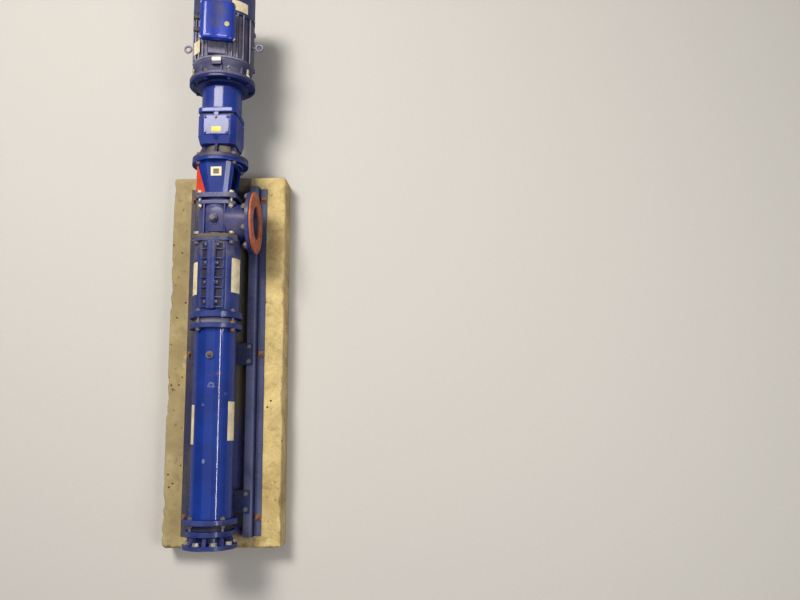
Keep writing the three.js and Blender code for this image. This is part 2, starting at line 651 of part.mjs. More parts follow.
plinth();
rails();
ties();
saddle('discharge_saddle', STATOR.radius);
saddle('stator_saddle', STATOR.radius);
const neckRoom = acrossBar(SUCTION.neck + SEAT, 0, SUCTION_FLANGE.start, SUCTION.centre);
saddle('suction_saddle', SUCTION.radius, neckRoom);
dischargeCover();
clampRing('discharge_clamp_ring', CLAMP.dischargeStart);
clampRing('drive_clamp_ring', CLAMP.driveStart);
stator();
rotor();
couplingRod();
driveShaft();
accessCasing();
suctionCasing();
suctionGasket();
sealHousing();
lantern();
lanternGuard();
gearboxFlange();
gearboxHousing();
inputAdapter();
endShield();
motorFrame();
terminalBox();
liftingEyes();
fanCowl();
fanGrille();
coolingFan();
statorProbe();
suctionPlug();
Object.keys(PLATES).forEach(bentPlate);

export default object;
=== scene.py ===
# The look of a progressing cavity pump set on its concrete plinth.
# Shapes are worked out in the pump's own millimetres: x across the pump, s along its axis from
# the discharge face towards the motor, z over the axis. world() puts them in the frame's metres.
from math import radians

import bmesh
import bpy
import numpy as np
from mathutils import Matrix, Vector

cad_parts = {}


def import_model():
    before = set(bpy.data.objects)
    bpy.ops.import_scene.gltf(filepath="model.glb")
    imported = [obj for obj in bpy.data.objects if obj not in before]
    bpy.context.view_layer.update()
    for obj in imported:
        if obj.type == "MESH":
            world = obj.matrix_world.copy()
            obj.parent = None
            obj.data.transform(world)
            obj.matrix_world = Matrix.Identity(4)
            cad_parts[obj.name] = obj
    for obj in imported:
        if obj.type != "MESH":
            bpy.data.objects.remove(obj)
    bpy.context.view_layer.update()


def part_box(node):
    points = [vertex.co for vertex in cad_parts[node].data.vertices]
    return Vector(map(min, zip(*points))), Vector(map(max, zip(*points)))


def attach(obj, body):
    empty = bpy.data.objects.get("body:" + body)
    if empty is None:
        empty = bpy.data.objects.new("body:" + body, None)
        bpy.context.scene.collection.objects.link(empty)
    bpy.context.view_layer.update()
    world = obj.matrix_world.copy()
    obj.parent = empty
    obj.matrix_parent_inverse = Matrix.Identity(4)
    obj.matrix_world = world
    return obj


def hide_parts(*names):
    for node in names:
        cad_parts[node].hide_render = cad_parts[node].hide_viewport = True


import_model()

MM = 0.001
DISCHARGE_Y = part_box("discharge_cover")[0].y
AXIS_Z = sum(corner.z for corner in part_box("stator_tube")) / 2
PLINTH_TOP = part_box("concrete_plinth")[1].z
SEAT = 0.3                             # room left between a piece and the body that it sits on
FRONT, BACK = (0, -1, 0), (0, 1, 0)    # towards the discharge, towards the motor
FOUR = np.arange(4) * 90 + 45
EIGHT = np.arange(8) * 45 + 22.5
rng = np.random.default_rng(7)


def span(node):
    """First and last station of a node, in millimetres."""
    low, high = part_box(node)
    return (low.y - DISCHARGE_Y) / MM, (high.y - DISCHARGE_Y) / MM


def height(node, end):
    """Lowest (end 0) or highest (end 1) z of a node over the axis, in millimetres."""
    return (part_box(node)[end].z - AXIS_Z) / MM


def half_width(node):
    """Half of a node's width across the pump, in millimetres."""
    low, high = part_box(node)
    return (high.x - low.x) / 2 / MM


def farthest(node):
    """Farthest x of a node from the pump's middle plane, in millimetres."""
    return max(abs(corner.x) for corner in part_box(node)) / MM


def middle_of(node):
    """Middle station of a node, in millimetres."""
    return sum(span(node)) / 2


def world(points):
    """Pump millimetres to the frame's metres."""
    return np.asarray(points, float) * MM + [0.0, DISCHARGE_Y, AXIS_Z]


# Sizes shared by several pieces, in millimetres and degrees
TUBE_R = half_width("stator_tube")
CASING_R, CASING_BORE, CASING_FLANGE = 103, 88, 115
RIB_PITCH, RIBS, SEAM_HALF, SEAM_TOP = 43, 7, 20, 125
JOINT_HALF, JOINT_CORNER = 103, 38
SUCTION_R, SUCTION_END = 90, 1509
SUCTION_STATION = middle_of("suction_gasket")
RAIL_SHEET = 6
ADAPTER_R, MOTOR_FLANGE_R = 90, 150
ANCHOR_STATIONS = (108, 846, 1584)
LANTERN_PLATE = 1619
BOX_LEAN, BOX_SHIFT = 14, -30
GRILLE_R = 104
PLATES = {
    "casing_plate_right": (CASING_R, 50, 84),
    "casing_plate_left": (CASING_R, -80, -42),
    "stator_plate_right": (TUBE_R, 56, 88),
    "stator_plate_left": (TUBE_R, -74, -48),
}


def waves(a, b, scale):
    """Smooth noise of two lengths, about -1 to 1: a sum of sines of unlike pitch and heading."""
    total = 0
    for i in range(5):
        way = a * np.cos(2.4 * i) + b * np.sin(2.4 * i)
        total = total + np.sin(way * scale * (1 + 0.73 * i) + 1.7 * i * i) / (1 + 0.5 * i)
    return total / 2


# Shapes are pairs of a vertex array and a list of face arrays

def grid(points, wrap_rows=False, wrap_cols=False):
    """A surface through a (rows, columns, 3) array of points, joined round where it wraps."""
    rows, cols = points.shape[:2]
    index = np.arange(rows * cols).reshape(rows, cols)
    if wrap_rows:
        index = np.vstack([index, index[:1]])
    if wrap_cols:
        index = np.hstack([index, index[:, :1]])
    quads = np.stack([index[:-1, :-1], index[:-1, 1:], index[1:, 1:], index[1:, :-1]], -1)
    return points.reshape(-1, 3), [quads.reshape(-1, 4)]


def merge(*shapes):
    """Several shapes as one."""
    verts = []
    faces = []
    offset = 0
    for points, parts in shapes:
        verts.append(points)
        faces += [part + offset for part in parts]
        offset += len(points)
    return np.concatenate(verts), faces


def moved(shape, offset):
    """A shape shifted by (x, s, z)."""
    return shape[0] + np.asarray(offset, float), shape[1]


def turn(shape, degrees, axis="Y", about=(0, 0, 0)):
    """A shape turned about an axis through a point."""
    matrix = np.array(Matrix.Rotation(radians(degrees), 3, axis))
    return (shape[0] - about) @ matrix.T + about, shape[1]


def along_x(shape, station):
    """A body turned about the pump axis, laid along X at one station instead."""
    points = shape[0]
    return np.stack([points[:, 1], station - points[:, 0], points[:, 2]], -1), shape[1]


def upright(shape, x, station):
    """A body turned about the pump axis, stood up along Z instead."""
    points = shape[0]
    return np.stack([x + points[:, 0], station - points[:, 2], points[:, 1]], -1), shape[1]


def laid_flat(shape, station):
    """A body swept along the axis, laid so that its sweep points up and its z runs on along s."""
    points = shape[0]
    return np.stack([points[:, 0], station + points[:, 2], points[:, 1]], -1), shape[1]


def rounded(outline, radius, steps=4, closed=True):
    """Each corner of an outline becomes a curve (1-t)^2 A + 2t(1-t) C + t^2 B from A to B round C,
    with one more point on the straight before A and after B, which keeps the flat sides flat."""
    points = np.asarray(outline, float)
    before = np.roll(points, 1, 0) - points
    after = np.roll(points, -1, 0) - points
    back = np.linalg.norm(before, axis=1)
    ahead = np.linalg.norm(after, axis=1)
    room = np.minimum(back, ahead)
    reach = np.minimum(np.broadcast_to(radius, len(points)), 0.4 * room)
    support = reach + np.minimum(0.5 * reach, 0.08 * room)
    before /= back[:, None]
    after /= ahead[:, None]
    start = points + before * reach[:, None]
    end = points + after * reach[:, None]
    t = np.linspace(0, 1, steps + 1)[None, :, None]
    curves = (1 - t) ** 2 * start[:, None] + 2 * t * (1 - t) * points[:, None] + t ** 2 * end[:, None]
    first = (points + before * support[:, None])[:, None]
    last = (points + after * support[:, None])[:, None]
    curves = np.concatenate([first, curves, last], 1)
    if closed:
        return curves.reshape(-1, 2)
    return np.concatenate([points[:1], curves[1:-1].reshape(-1, 2), points[-1:]])


def turned(profile, soft=2.0, sides=128, steps=3):
    """A profile of (radius r, station s) pairs turned about the axis: (r cos a, s, r sin a).
    A profile that starts on the axis is open, any other closes on itself."""
    on_axis = profile[0][0] == 0
    curve = rounded(profile, soft, steps, closed=not on_axis)
    angle = np.linspace(0, 2 * np.pi, sides, endpoint=False)
    r = curve[:, :1]
    level = np.broadcast_to(curve[:, 1:], (len(curve), sides))
    points = np.stack([r * np.cos(angle), level, r * np.sin(angle)], -1)
    return grid(points, wrap_rows=not on_axis, wrap_cols=True)


def disc(radius, start, end, soft=2.0, sides=128):
    """A solid round about the axis between two stations."""
    return turned([(0, start), (radius, start), (radius, end), (0, end)], soft, sides)


def tube(inner, outer, start, end, soft=2.0, sides=128):
    """A hollow round about the axis between two stations."""
    return turned([(inner, start), (outer, start), (outer, end), (inner, end)], soft, sides)


def inset(outline, depth):
    """An outline moved inwards along its corners' mean normals."""
    points = np.asarray(outline, float)
    edge = np.roll(points, -1, 0) - points
    length = np.maximum(np.linalg.norm(edge, axis=1, keepdims=True), 1e-9)
    normal = np.stack([-edge[:, 1], edge[:, 0]], -1) / length
    area = np.sum(points[:, 0] * np.roll(points[:, 1], -1) - np.roll(points[:, 0], -1) * points[:, 1])
    mean = normal + np.roll(normal, 1, 0)
    mean /= np.maximum(np.linalg.norm(mean, axis=1, keepdims=True), 1e-9)
    return points + np.sign(area) * mean * depth


def end_caps(count, layers):
    """The two end faces of a body of so many layers with so many points each."""
    return np.stack([np.arange(count)[::-1], np.arange(count) + count * (layers - 1)])


def swept(outline, start, end, bevel=1.5, corner=0.0, steps=3):
    """An outline of (x, z) pairs carried along the axis. Its end edges follow a quarter round, in
    by b (1 - sin t) at b (1 - cos t) from the end, with a last ring that keeps the sides flat."""
    shape = rounded(outline, corner, steps) if corner else np.asarray(outline, float)
    t = np.linspace(0, np.pi / 2, 3)
    depth = bevel * (1 - np.sin(t))
    along = bevel * (1 - np.cos(t))
    support = bevel + min(0.7 * bevel, 0.2 * (end - start - 2 * bevel))
    rings = [(start + a, d) for a, d in zip(along, depth)] + [(start + support, 0)]
    rings += [(end - support, 0)] + [(end - a, d) for a, d in zip(along, depth)][::-1]
    layers = [np.insert(inset(shape, d), 1, s, axis=1) for s, d in rings]
    points, faces = grid(np.stack(layers), wrap_cols=True)
    return points, faces + [end_caps(len(shape), len(layers))]


def lofted(first, last, start, end, bevel=1.5):
    """Flat-sided body between two outlines A and B with as many points: A (1 - t) + B t, eased at
    its ends."""
    first = np.asarray(first, float)
    last = np.asarray(last, float)
    layers = []
    for t, d in ((0, bevel), (0.01, 0), (0.03, 0), (0.97, 0), (0.99, 0), (1, bevel)):
        outline = inset(first * (1 - t) + last * t, d)
        layers.append(np.insert(outline, 1, start * (1 - t) + end * t, axis=1))
    points, faces = grid(np.stack(layers), wrap_cols=True)
    return points, faces + [end_caps(len(first), len(layers))]


def mirrored(outline, side, up=1):
    """An outline with its x and z multiplied by a sign each."""
    return [(side * x, up * z) for x, z in outline]


def rectangle(x0, x1, z0, z1):
    """The outline of an upright rectangle."""
    return [(x0, z0), (x1, z0), (x1, z1), (x0, z1)]


def block(x0, x1, s0, s1, z0, z1, soft=1.5):
    """A box with eased edges."""
    return swept(rectangle(x0, x1, z0, z1), s0, s1, soft, soft)


def cut_square(half, corner, low=None, high=None):
    """A square outline with its corners cut, between other heights where they are given."""
    low = -half if low is None else low
    high = half if high is None else high
    return [
        (-half + corner, low), (half - corner, low), (half, low + corner), (half, high - corner),
        (half - corner, high), (-half + corner, high), (-half, high - corner), (-half, low + corner),
    ]


def sheet_outline(path, thickness, bend):
    """An open path of a folded sheet, thickened to one side, with its bends rounded."""
    line = rounded(path, bend, 5, closed=False)
    tangent = np.gradient(line, axis=0)
    tangent /= np.linalg.norm(tangent, axis=1, keepdims=True)
    normal = np.stack([-tangent[:, 1], tangent[:, 0]], -1)
    return np.concatenate([line, (line + normal * thickness)[::-1]])


def bent_plate(radius, start, end, from_angle, to_angle):
    """A thin plate laid on the round body; angles in degrees from the top towards +X."""
    thickness = 1.1
    a = np.radians(np.linspace(from_angle, to_angle, 14))
    inner = np.stack([radius * np.sin(a), radius * np.cos(a)], -1)
    outer = inner * (radius + thickness) / radius
    return swept(np.concatenate([outer, inner[::-1]]), start, end, 0.2)


def ring_of_wire(radius, wire, around, across):
    """A torus about Z: ((r + w cos b) cos a, (r + w cos b) sin a, w sin b)."""
    a = np.linspace(0, 2 * np.pi, around, endpoint=False)[:, None]
    b = np.linspace(0, 2 * np.pi, across, endpoint=False)[None]
    reach = radius + wire * np.cos(b)
    return grid(np.stack([reach * np.cos(a), reach * np.sin(a), wire * np.sin(b) + 0 * a], -1), True, True)


def placed(shape, origins, directions, spins=None):
    """Copies of a shape made along Y, each set at an origin, pointed along a direction and spun
    about it, by a random angle where none is given."""
    origins = np.asarray(origins, float)
    y = np.broadcast_to(np.asarray(directions, float), origins.shape)
    y = y / np.linalg.norm(y, axis=1, keepdims=True)
    helper = np.where(np.abs(y[:, 2:]) < 0.9, [[0.0, 0.0, 1.0]], [[1.0, 0.0, 0.0]])
    x = np.cross(y, helper)
    x /= np.linalg.norm(x, axis=1, keepdims=True)
    z = np.cross(x, y)
    if spins is None:
        spins = rng.uniform(0, np.pi, len(origins))
    spins = np.broadcast_to(spins, len(origins))
    c, n = np.cos(spins)[:, None], np.sin(spins)[:, None]
    axes = np.stack([x * c + z * n, y, z * c - x * n], 1)
    points = np.einsum("vj,kji->kvi", shape[0], axes) + origins[:, None]
    shift = np.arange(len(origins))[:, None, None] * len(shape[0])
    faces = [(part[None] + shift).reshape(-1, part.shape[1]) for part in shape[1]]
    return points.reshape(-1, 3), faces


def round_places(radius, station, angles):
    """Places on a circle about the axis; angles in degrees from the top towards +X."""
    a = np.radians(angles)
    return np.stack([radius * np.sin(a), np.full(len(a), float(station)), radius * np.cos(a)], -1)


def piece(name, shape, material, nodes=(), sharp=32):
    """A finished mesh from a shape: doubles merged, normals outwards, smooth but for the edges
    over so many degrees."""
    mesh = bpy.data.meshes.new(name)
    faces = [face for part in shape[1] for face in part.tolist()]
    mesh.from_pydata(world(shape[0]).tolist(), [], faces)
    bm = bmesh.new()
    bm.from_mesh(mesh)
    bmesh.ops.remove_doubles(bm, verts=bm.verts, dist=1e-6)
    bmesh.ops.dissolve_degenerate(bm, edges=bm.edges, dist=1e-7)
    bmesh.ops.recalc_face_normals(bm, faces=bm.faces)
    bm.to_mesh(mesh)
    bm.free()
    mesh.shade_smooth()
    mesh.set_sharp_from_angle(angle=radians(sharp))
    mesh.materials.append(material)
    made = bpy.data.objects.new(name, mesh)
    bpy.context.scene.collection.objects.link(made)
    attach(made, "root")
    if nodes:
        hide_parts(*nodes)


# Shader nodes

def node(tree, kind, inputs=(), **settings):
    """A shader node with its settings, and its inputs given as (socket, value or output) pairs."""
    made = tree.nodes.new("ShaderNode" + kind)
    for key, value in settings.items():
        setattr(made, key, value)
    for key, value in inputs:
        if isinstance(value, bpy.types.NodeSocket):
            tree.links.new(value, made.inputs[key])
        else:
            made.inputs[key].default_value = value
    return made


def ramp(tree, value, low, high, out_low=0.0, out_high=1.0):
    """A value mapped smoothly from low..high to out_low..out_high."""
    pairs = [("Value", value), ("From Min", low), ("From Max", high)]
    pairs += [("To Min", out_low), ("To Max", out_high)]
    return node(tree, "MapRange", pairs, interpolation_type="SMOOTHSTEP").outputs["Result"]


def maths(tree, operation, first, second, clamp=True):
    """Two values through a Math node, held to 0..1 unless clamp is off."""
    return node(tree, "Math", [(0, first), (1, second)], operation=operation, use_clamp=clamp).outputs[0]


def times(tree, first, second):
    """The product of two values, held to 0..1."""
    return maths(tree, "MULTIPLY", first, second)


def plus(tree, first, second):
    """The sum of two values, held to 0..1."""
    return maths(tree, "ADD", first, second)


def coordinate(tree, vector, axis):
    """One coordinate, "X", "Y" or "Z", of a vector."""
    return node(tree, "SeparateXYZ", [(0, vector)]).outputs[axis]


def blend_colour(tree, mask, first, second):
    """The first colour where the mask is 0, the second where it is 1."""
    return node(tree, "Mix", [(0, mask), (6, first), (7, second)], data_type="RGBA").outputs[2]


def noise(tree, place, scale, detail=4.0, rough=0.55, distortion=0.0):
    """Cloudy values of about 0.3 to 0.7, scale of them to a metre."""
    pairs = [("Vector", place), ("Scale", scale), ("Detail", detail)]
    pairs += [("Roughness", rough), ("Distortion", distortion)]
    return node(tree, "TexNoise", pairs).outputs["Fac"]


def object_place(tree, stretch=(1, 1, 1)):
    """Object coordinates in metres, stretched."""
    place = node(tree, "TexCoord").outputs["Object"]
    return node(tree, "Mapping", [("Vector", place), ("Scale", stretch)]).outputs[0]


def new_group(name, inputs, outputs):
    """An empty node group: inputs are (name, default) values, outputs are names of values."""
    tree = bpy.data.node_groups.new(name, "ShaderNodeTree")
    for label, default in inputs:
        socket = tree.interface.new_socket(label, in_out="INPUT", socket_type="NodeSocketFloat")
        socket.default_value = default
    for label in outputs:
        tree.interface.new_socket(label, in_out="OUTPUT", socket_type="NodeSocketFloat")
    return tree, tree.nodes.new("NodeGroupInput").outputs, tree.nodes.new("NodeGroupOutput").inputs


def use(tree, group, **values):
    """A group placed in a material with its own values."""
    made = tree.nodes.new("ShaderNodeGroup")
    made.node_tree = group
    for key, value in values.items():
        made.inputs[key.replace("_", " ")].default_value = value
    return made.outputs


def make_dust_group():
    """Dust settles where the surface faces up, thicker in patches."""
    tree, given, out = new_group("settled_dust", [("Amount", 0.5), ("Patch size", 6.0)], ["Mask"])
    up = coordinate(tree, node(tree, "NewGeometry").outputs["Normal"], "Z")
    place = object_place(tree)
    patches = noise(tree, place, given["Patch size"], 6.0, 0.62, 0.3)
    fine = noise(tree, place, 95.0, 3.0, 0.7)
    cloudy = ramp(tree, plus(tree, times(tree, patches, 0.75), times(tree, fine, 0.25)), 0.36, 0.66)
    thick = times(tree, ramp(tree, up, 0.1, 0.95), plus(tree, times(tree, cloudy, 0.75), 0.25))
    tree.links.new(times(tree, thick, given["Amount"]), out["Mask"])
    return tree


def make_wear_and_shade_group():
    """Paint chips off along the sharp edges and here and there on the faces, and the hollows are
    darkened as painted shade."""
    tree, given, out = new_group("edge_wear_and_hollow_shade", [("Edges", 0.5), ("Chips", 0.2)], ["Mask", "Hollow_shade"])
    sharp = node(tree, "NewGeometry").outputs["Pointiness"]
    place = object_place(tree)
    breaks = ramp(tree, noise(tree, place, 60.0, 6.0, 0.7), 0.5, 0.66)
    edge = times(tree, ramp(tree, sharp, 0.57, 0.66), breaks)
    spots = ramp(tree, noise(tree, place, 38.0, 5.0, 0.75), 0.72, 0.76)
    chips = times(tree, spots, given["Chips"])
    tree.links.new(plus(tree, times(tree, edge, given["Edges"]), chips), out["Mask"])
    # The second output is painted shade, darker where the surface is hollow.
    tree.links.new(ramp(tree, sharp, 0.5, 0.42), out["Hollow_shade"])
    return tree


def make_cast_group():
    """Height of a cast or brushed-on surface: fine grain over slow waves."""
    tree, given, out = new_group("cast_grain", [("Grain", 1.0)], ["Height"])
    place = object_place(tree)
    grain = times(tree, noise(tree, place, 420.0, 3.0, 0.6), given["Grain"])
    slow = noise(tree, place, 30.0, 4.0, 0.5)
    tree.links.new(plus(tree, times(tree, grain, 0.4), times(tree, slow, 0.6)), out["Height"])
    return tree


def make_runs_group():
    """Rust and dirt that run down from joints: streaks long across the pump's round."""
    tree, given, out = new_group("runs", [("Amount", 0.5)], ["Mask"])
    streaks = noise(tree, object_place(tree, (5, 34, 5)), 2.2, 6.0, 0.62)
    gate = ramp(tree, noise(tree, object_place(tree), 3.1, 2.0), 0.45, 0.62)
    mask = times(tree, ramp(tree, streaks, 0.56, 0.7), gate)
    tree.links.new(times(tree, mask, given["Amount"]), out["Mask"])
    return tree


# The first colour below is the near-black of the painted shade in hollows.
HOLLOW_SHADE = (0.012, 0.01, 0.014, 1)
CHIPPED_STEEL = (0.16, 0.07, 0.035, 1)
RUN_BROWN = (0.13, 0.075, 0.045, 1)
METAL_DUST = (0.3, 0.25, 0.17, 1)
PLATE_DUST = (0.3, 0.24, 0.16, 1)
DUST = make_dust_group()
WEAR_AND_SHADE = make_wear_and_shade_group()
CAST = make_cast_group()
RUNS = make_runs_group()


def new_material(name):
    """A material with its node tree and its surface shader."""
    material = bpy.data.materials.new(name)
    material.use_nodes = True
    tree = material.node_tree
    return material, tree, tree.nodes["Principled BSDF"]


def finish_surface(tree, shader, colour, rough, height=None, strength=0.2, distance=0.001):
    """Colour, roughness and bump into the surface shader, linked where they vary."""
    for socket, value in (("Base Color", colour), ("Roughness", rough)):
        if isinstance(value, bpy.types.NodeSocket):
            tree.links.new(value, shader.inputs[socket])
        else:
            shader.inputs[socket].default_value = value
    if height is not None:
        bump = node(tree, "Bump", [("Strength", strength), ("Distance", distance), ("Height", height)])
        tree.links.new(bump.outputs[0], shader.inputs["Normal"])


def make_marks(tree, place, colour, marks):
    """Ragged spots over a colour. Each is (centre, hole, reach, its colour), in pump millimetres."""
    ragged = ramp(tree, noise(tree, place, 70.0, 6.0, 0.75), 0.3, 0.7, -0.007, 0.007)
    for centre, hole, reach, shade in marks:
        offset = node(tree, "Mapping", [("Vector", place), ("Location", -world([centre])[0])])
        away = node(tree, "VectorMath", [(0, offset.outputs[0])], operation="LENGTH").outputs["Value"]
        far = maths(tree, "ADD", away, ragged, clamp=False)
        spot = ramp(tree, far, reach * MM, reach * MM * 0.7, 0, 0.6)
        if hole:
            spot = times(tree, spot, ramp(tree, far, hole * MM * 0.8, hole * MM))
        colour = blend_colour(tree, spot, colour, shade)
    return colour


def paint(name, colour, deep, dust_colour, dust=0.5, patch=6.0, edges=0.5, chips=0.2, runs=0.3,
          gloss=0.2, grain=0.6, coat=0.4, dirtier=None, marks=()):
    """Brushed machine paint in two shades under a clear coat, with painted shade darkening its hollows,
    chipped edges, run marks and settled dust over it. Where dirtier gives two stations, the dust
    thickens from the first to the second."""
    material, tree, shader = new_material(name)
    place = object_place(tree)
    body = blend_colour(tree, ramp(tree, noise(tree, place, 7.0, 5.0, 0.6), 0.3, 0.7), deep, colour)
    worn_and_shaded = use(tree, WEAR_AND_SHADE, Edges=edges, Chips=chips)
    dusty = use(tree, DUST, Amount=dust, Patch_size=patch)["Mask"]
    if dirtier:
        low, high = (station * MM + DISCHARGE_Y for station in dirtier)
        patchy = ramp(tree, noise(tree, place, 26.0, 6.0, 0.65), 0.38, 0.6, 0.25, 0.85)
        thicker = times(tree, ramp(tree, coordinate(tree, place, "Y"), low, high), patchy)
        dusty = maths(tree, "MAXIMUM", dusty, thicker)
    run = use(tree, RUNS, Amount=runs)["Mask"]
    # Painted shade: the hollows blend towards near-black.
    hollow_shaded = blend_colour(tree, times(tree, worn_and_shaded["Hollow_shade"], 0.7), body, HOLLOW_SHADE)
    chipped = blend_colour(tree, worn_and_shaded["Mask"], hollow_shaded, CHIPPED_STEEL)
    streaked = blend_colour(tree, run, chipped, RUN_BROWN)
    final = blend_colour(tree, dusty, streaked, dust_colour)
    if marks:
        final = make_marks(tree, place, final, marks)
    clean = maths(tree, "SUBTRACT", 1.0, plus(tree, dusty, times(tree, run, 0.5)))
    facing = node(tree, "LayerWeight", [("Blend", 0.5)]).outputs["Facing"]
    full_on = times(tree, clean, ramp(tree, facing, 0.85, 0.45, 0.25, 1.0))
    tree.links.new(times(tree, full_on, coat), shader.inputs["Coat Weight"])
    shader.inputs["Coat Roughness"].default_value = gloss
    shader.inputs["Specular IOR Level"].default_value = 0.12
    rough = ramp(tree, noise(tree, place, 18.0), 0.3, 0.8, 0.5, 0.65)
    finish_surface(tree, shader, final, rough, use(tree, CAST, Grain=grain)["Height"], 0.25, 0.0012)
    return material


def bare_metal(name, colour, tarnish, rough=0.3, spread=0.5, metallic=0.9):
    """Bare or plated metal, dulled, spotted and dusty."""
    material, tree, shader = new_material(name)
    place = object_place(tree)
    spots = ramp(tree, noise(tree, place, 70.0, 5.0, 0.7), 0.62 - 0.3 * spread, 0.78 - 0.2 * spread)
    dusty = use(tree, DUST, Amount=0.35, Patch_size=14.0)["Mask"]
    final = blend_colour(tree, dusty, blend_colour(tree, spots, colour, tarnish), METAL_DUST)
    sheen = plus(tree, times(tree, spots, 0.4), plus(tree, dusty, rough))
    tree.links.new(ramp(tree, spots, 0.0, 1.0, metallic, 0.15), shader.inputs["Metallic"])
    finish_surface(tree, shader, final, sheen, noise(tree, place, 160.0, 4.0), 0.15, 0.0006)
    return material


def matte(name, colour, other, rough=0.6, scale=20.0, dust=0.3, bump=0.2):
    """A dull moulded, printed or coated surface in two near shades, with dust."""
    material, tree, shader = new_material(name)
    place = object_place(tree)
    shade = ramp(tree, noise(tree, place, scale, 6.0, 0.65), 0.35, 0.68)
    dusty = use(tree, DUST, Amount=dust, Patch_size=9.0)["Mask"]
    final = blend_colour(tree, dusty, blend_colour(tree, shade, colour, other), PLATE_DUST)
    sheen = ramp(tree, shade, 0.0, 1.0, rough - 0.1, rough + 0.15)
    finish_surface(tree, shader, final, sheen, noise(tree, place, 240.0, 4.0), bump, 0.0008)
    return material


def concrete():
    """Poured concrete: sandy body, brown mottling, pale scuffs, pores and a left side darkened as
    painted shade. On top, between the rails, lies a painted shadow, which turns to a painted
    reflection of the blue tube towards the discharge."""
    material, tree, shader = new_material("pit_concrete")
    place = object_place(tree)
    along_joints = object_place(tree, (1, 0.35, 1))
    cloud = ramp(tree, noise(tree, place, 4.2, 9.0, 0.68, 0.5), 0.32, 0.68)
    sand = noise(tree, place, 140.0, 6.0, 0.8)
    mottle = ramp(tree, noise(tree, place, 17.0, 8.0, 0.72, 0.4), 0.5, 0.68)
    scuff = ramp(tree, noise(tree, along_joints, 11.0, 7.0, 0.7), 0.58, 0.7)
    stain = ramp(tree, noise(tree, place, 5.3, 7.0, 0.66, 0.8), 0.58, 0.7)
    colour = blend_colour(tree, cloud, (0.38, 0.27, 0.1, 1), (0.7, 0.56, 0.25, 1))
    for mask, share, shade in (
        (ramp(tree, sand, 0.35, 0.75), 0.55, (0.27, 0.19, 0.08, 1)),
        (mottle, 0.6, (0.25, 0.17, 0.06, 1)),
        (scuff, 0.6, (0.82, 0.72, 0.46, 1)),
        (stain, 0.6, (0.19, 0.125, 0.05, 1)),
    ):
        colour = blend_colour(tree, times(tree, mask, share), colour, shade)

    # Painted shade: the left side is darkened, with a wandering edge.
    wander = ramp(tree, noise(tree, object_place(tree, (1, 0.5, 1)), 7.0, 6.0, 0.65), 0.2, 0.8, -0.05, 0.05)
    across = maths(tree, "ADD", coordinate(tree, place, "X"), wander, clamp=False)
    colour = blend_colour(tree, ramp(tree, across, -0.12, -0.2, 0.0, 0.55), colour, (0.24, 0.2, 0.12, 1))

    # Painted shadow: a dark strip on top between the rails, under the pump, fading out at the discharge
    # end.
    rails_out, rails_in = 0.15, 0.125
    left_in = ramp(tree, across, -rails_out, -rails_in)
    between = times(tree, ramp(tree, across, rails_out, rails_in), left_in)
    top = ramp(tree, coordinate(tree, place, "Z"), PLINTH_TOP - 0.05, PLINTH_TOP - 0.004)
    along = coordinate(tree, place, "Y")
    past_end = ramp(tree, along, DISCHARGE_Y, DISCHARGE_Y + 0.06, 0.15, 1.0)
    on_top = times(tree, times(tree, between, top), past_end)
    # Painted reflection of the blue tube: the strip turns blue towards the discharge.
    blue_reflection = ramp(tree, along, DISCHARGE_Y + 0.65, DISCHARGE_Y + 0.4)
    painted_shade = blend_colour(tree, blue_reflection, (0.075, 0.065, 0.055, 1), (0.012, 0.028, 0.2, 1))
    colour = blend_colour(tree, times(tree, on_top, 0.93), colour, painted_shade)

    pores = node(tree, "TexVoronoi", [("Vector", place), ("Scale", 30.0)], feature="F1").outputs["Distance"]
    pit = times(tree, ramp(tree, pores, 0.2, 0.1), ramp(tree, noise(tree, place, 9.0), 0.46, 0.58))
    colour = blend_colour(tree, pit, colour, (0.07, 0.045, 0.025, 1))
    rough = ramp(tree, stain, 0.0, 1.0, 0.92, 0.7)
    relief = plus(tree, times(tree, sand, 0.5), times(tree, cloud, 0.3))
    finish_surface(tree, shader, colour, rough, maths(tree, "SUBTRACT", relief, pit), 0.6, 0.005)
    return material


# Finishes

DUST_GREY = (0.1, 0.095, 0.13, 1)
BROWN_DUST = (0.15, 0.115, 0.06, 1)
SAND_DUST = (0.3, 0.25, 0.16, 1)
PALE_SCRATCH = (0.22, 0.25, 0.33, 1)
RUST_SPOT = (0.2, 0.06, 0.02, 1)
BLUE_SMEAR = (0.04, 0.09, 0.3, 1)
TUBE_MARKS = [
    ((37, 741, 83), 0, 9, RUST_SPOT),
    ((10, 688, 90), 9, 14, PALE_SCRATCH),
    ((-25, 608, 87), 0, 5, PALE_SCRATCH),
    ((-16, 369, 90), 0, 5, PALE_SCRATCH),
    ((67, 651, 61), 0, 8, BLUE_SMEAR),
]
LID_SMUDGE = (0.05, 0.05, 0.12, 1)
LID_MARKS = [((x, station, 212), 0, 32, LID_SMUDGE) for x, station in ((14, 2290), (28, 2340), (20, 2375))]
TUBE_PAINT = paint("tube_paint", (0.0015, 0.027, 0.23, 1), (0.001, 0.018, 0.16, 1), DUST_GREY,
                   dust=0.06, patch=3.0, edges=0.4, chips=0.5, runs=0.15, gloss=0.08, grain=0.05, coat=0.42,
                   marks=TUBE_MARKS)
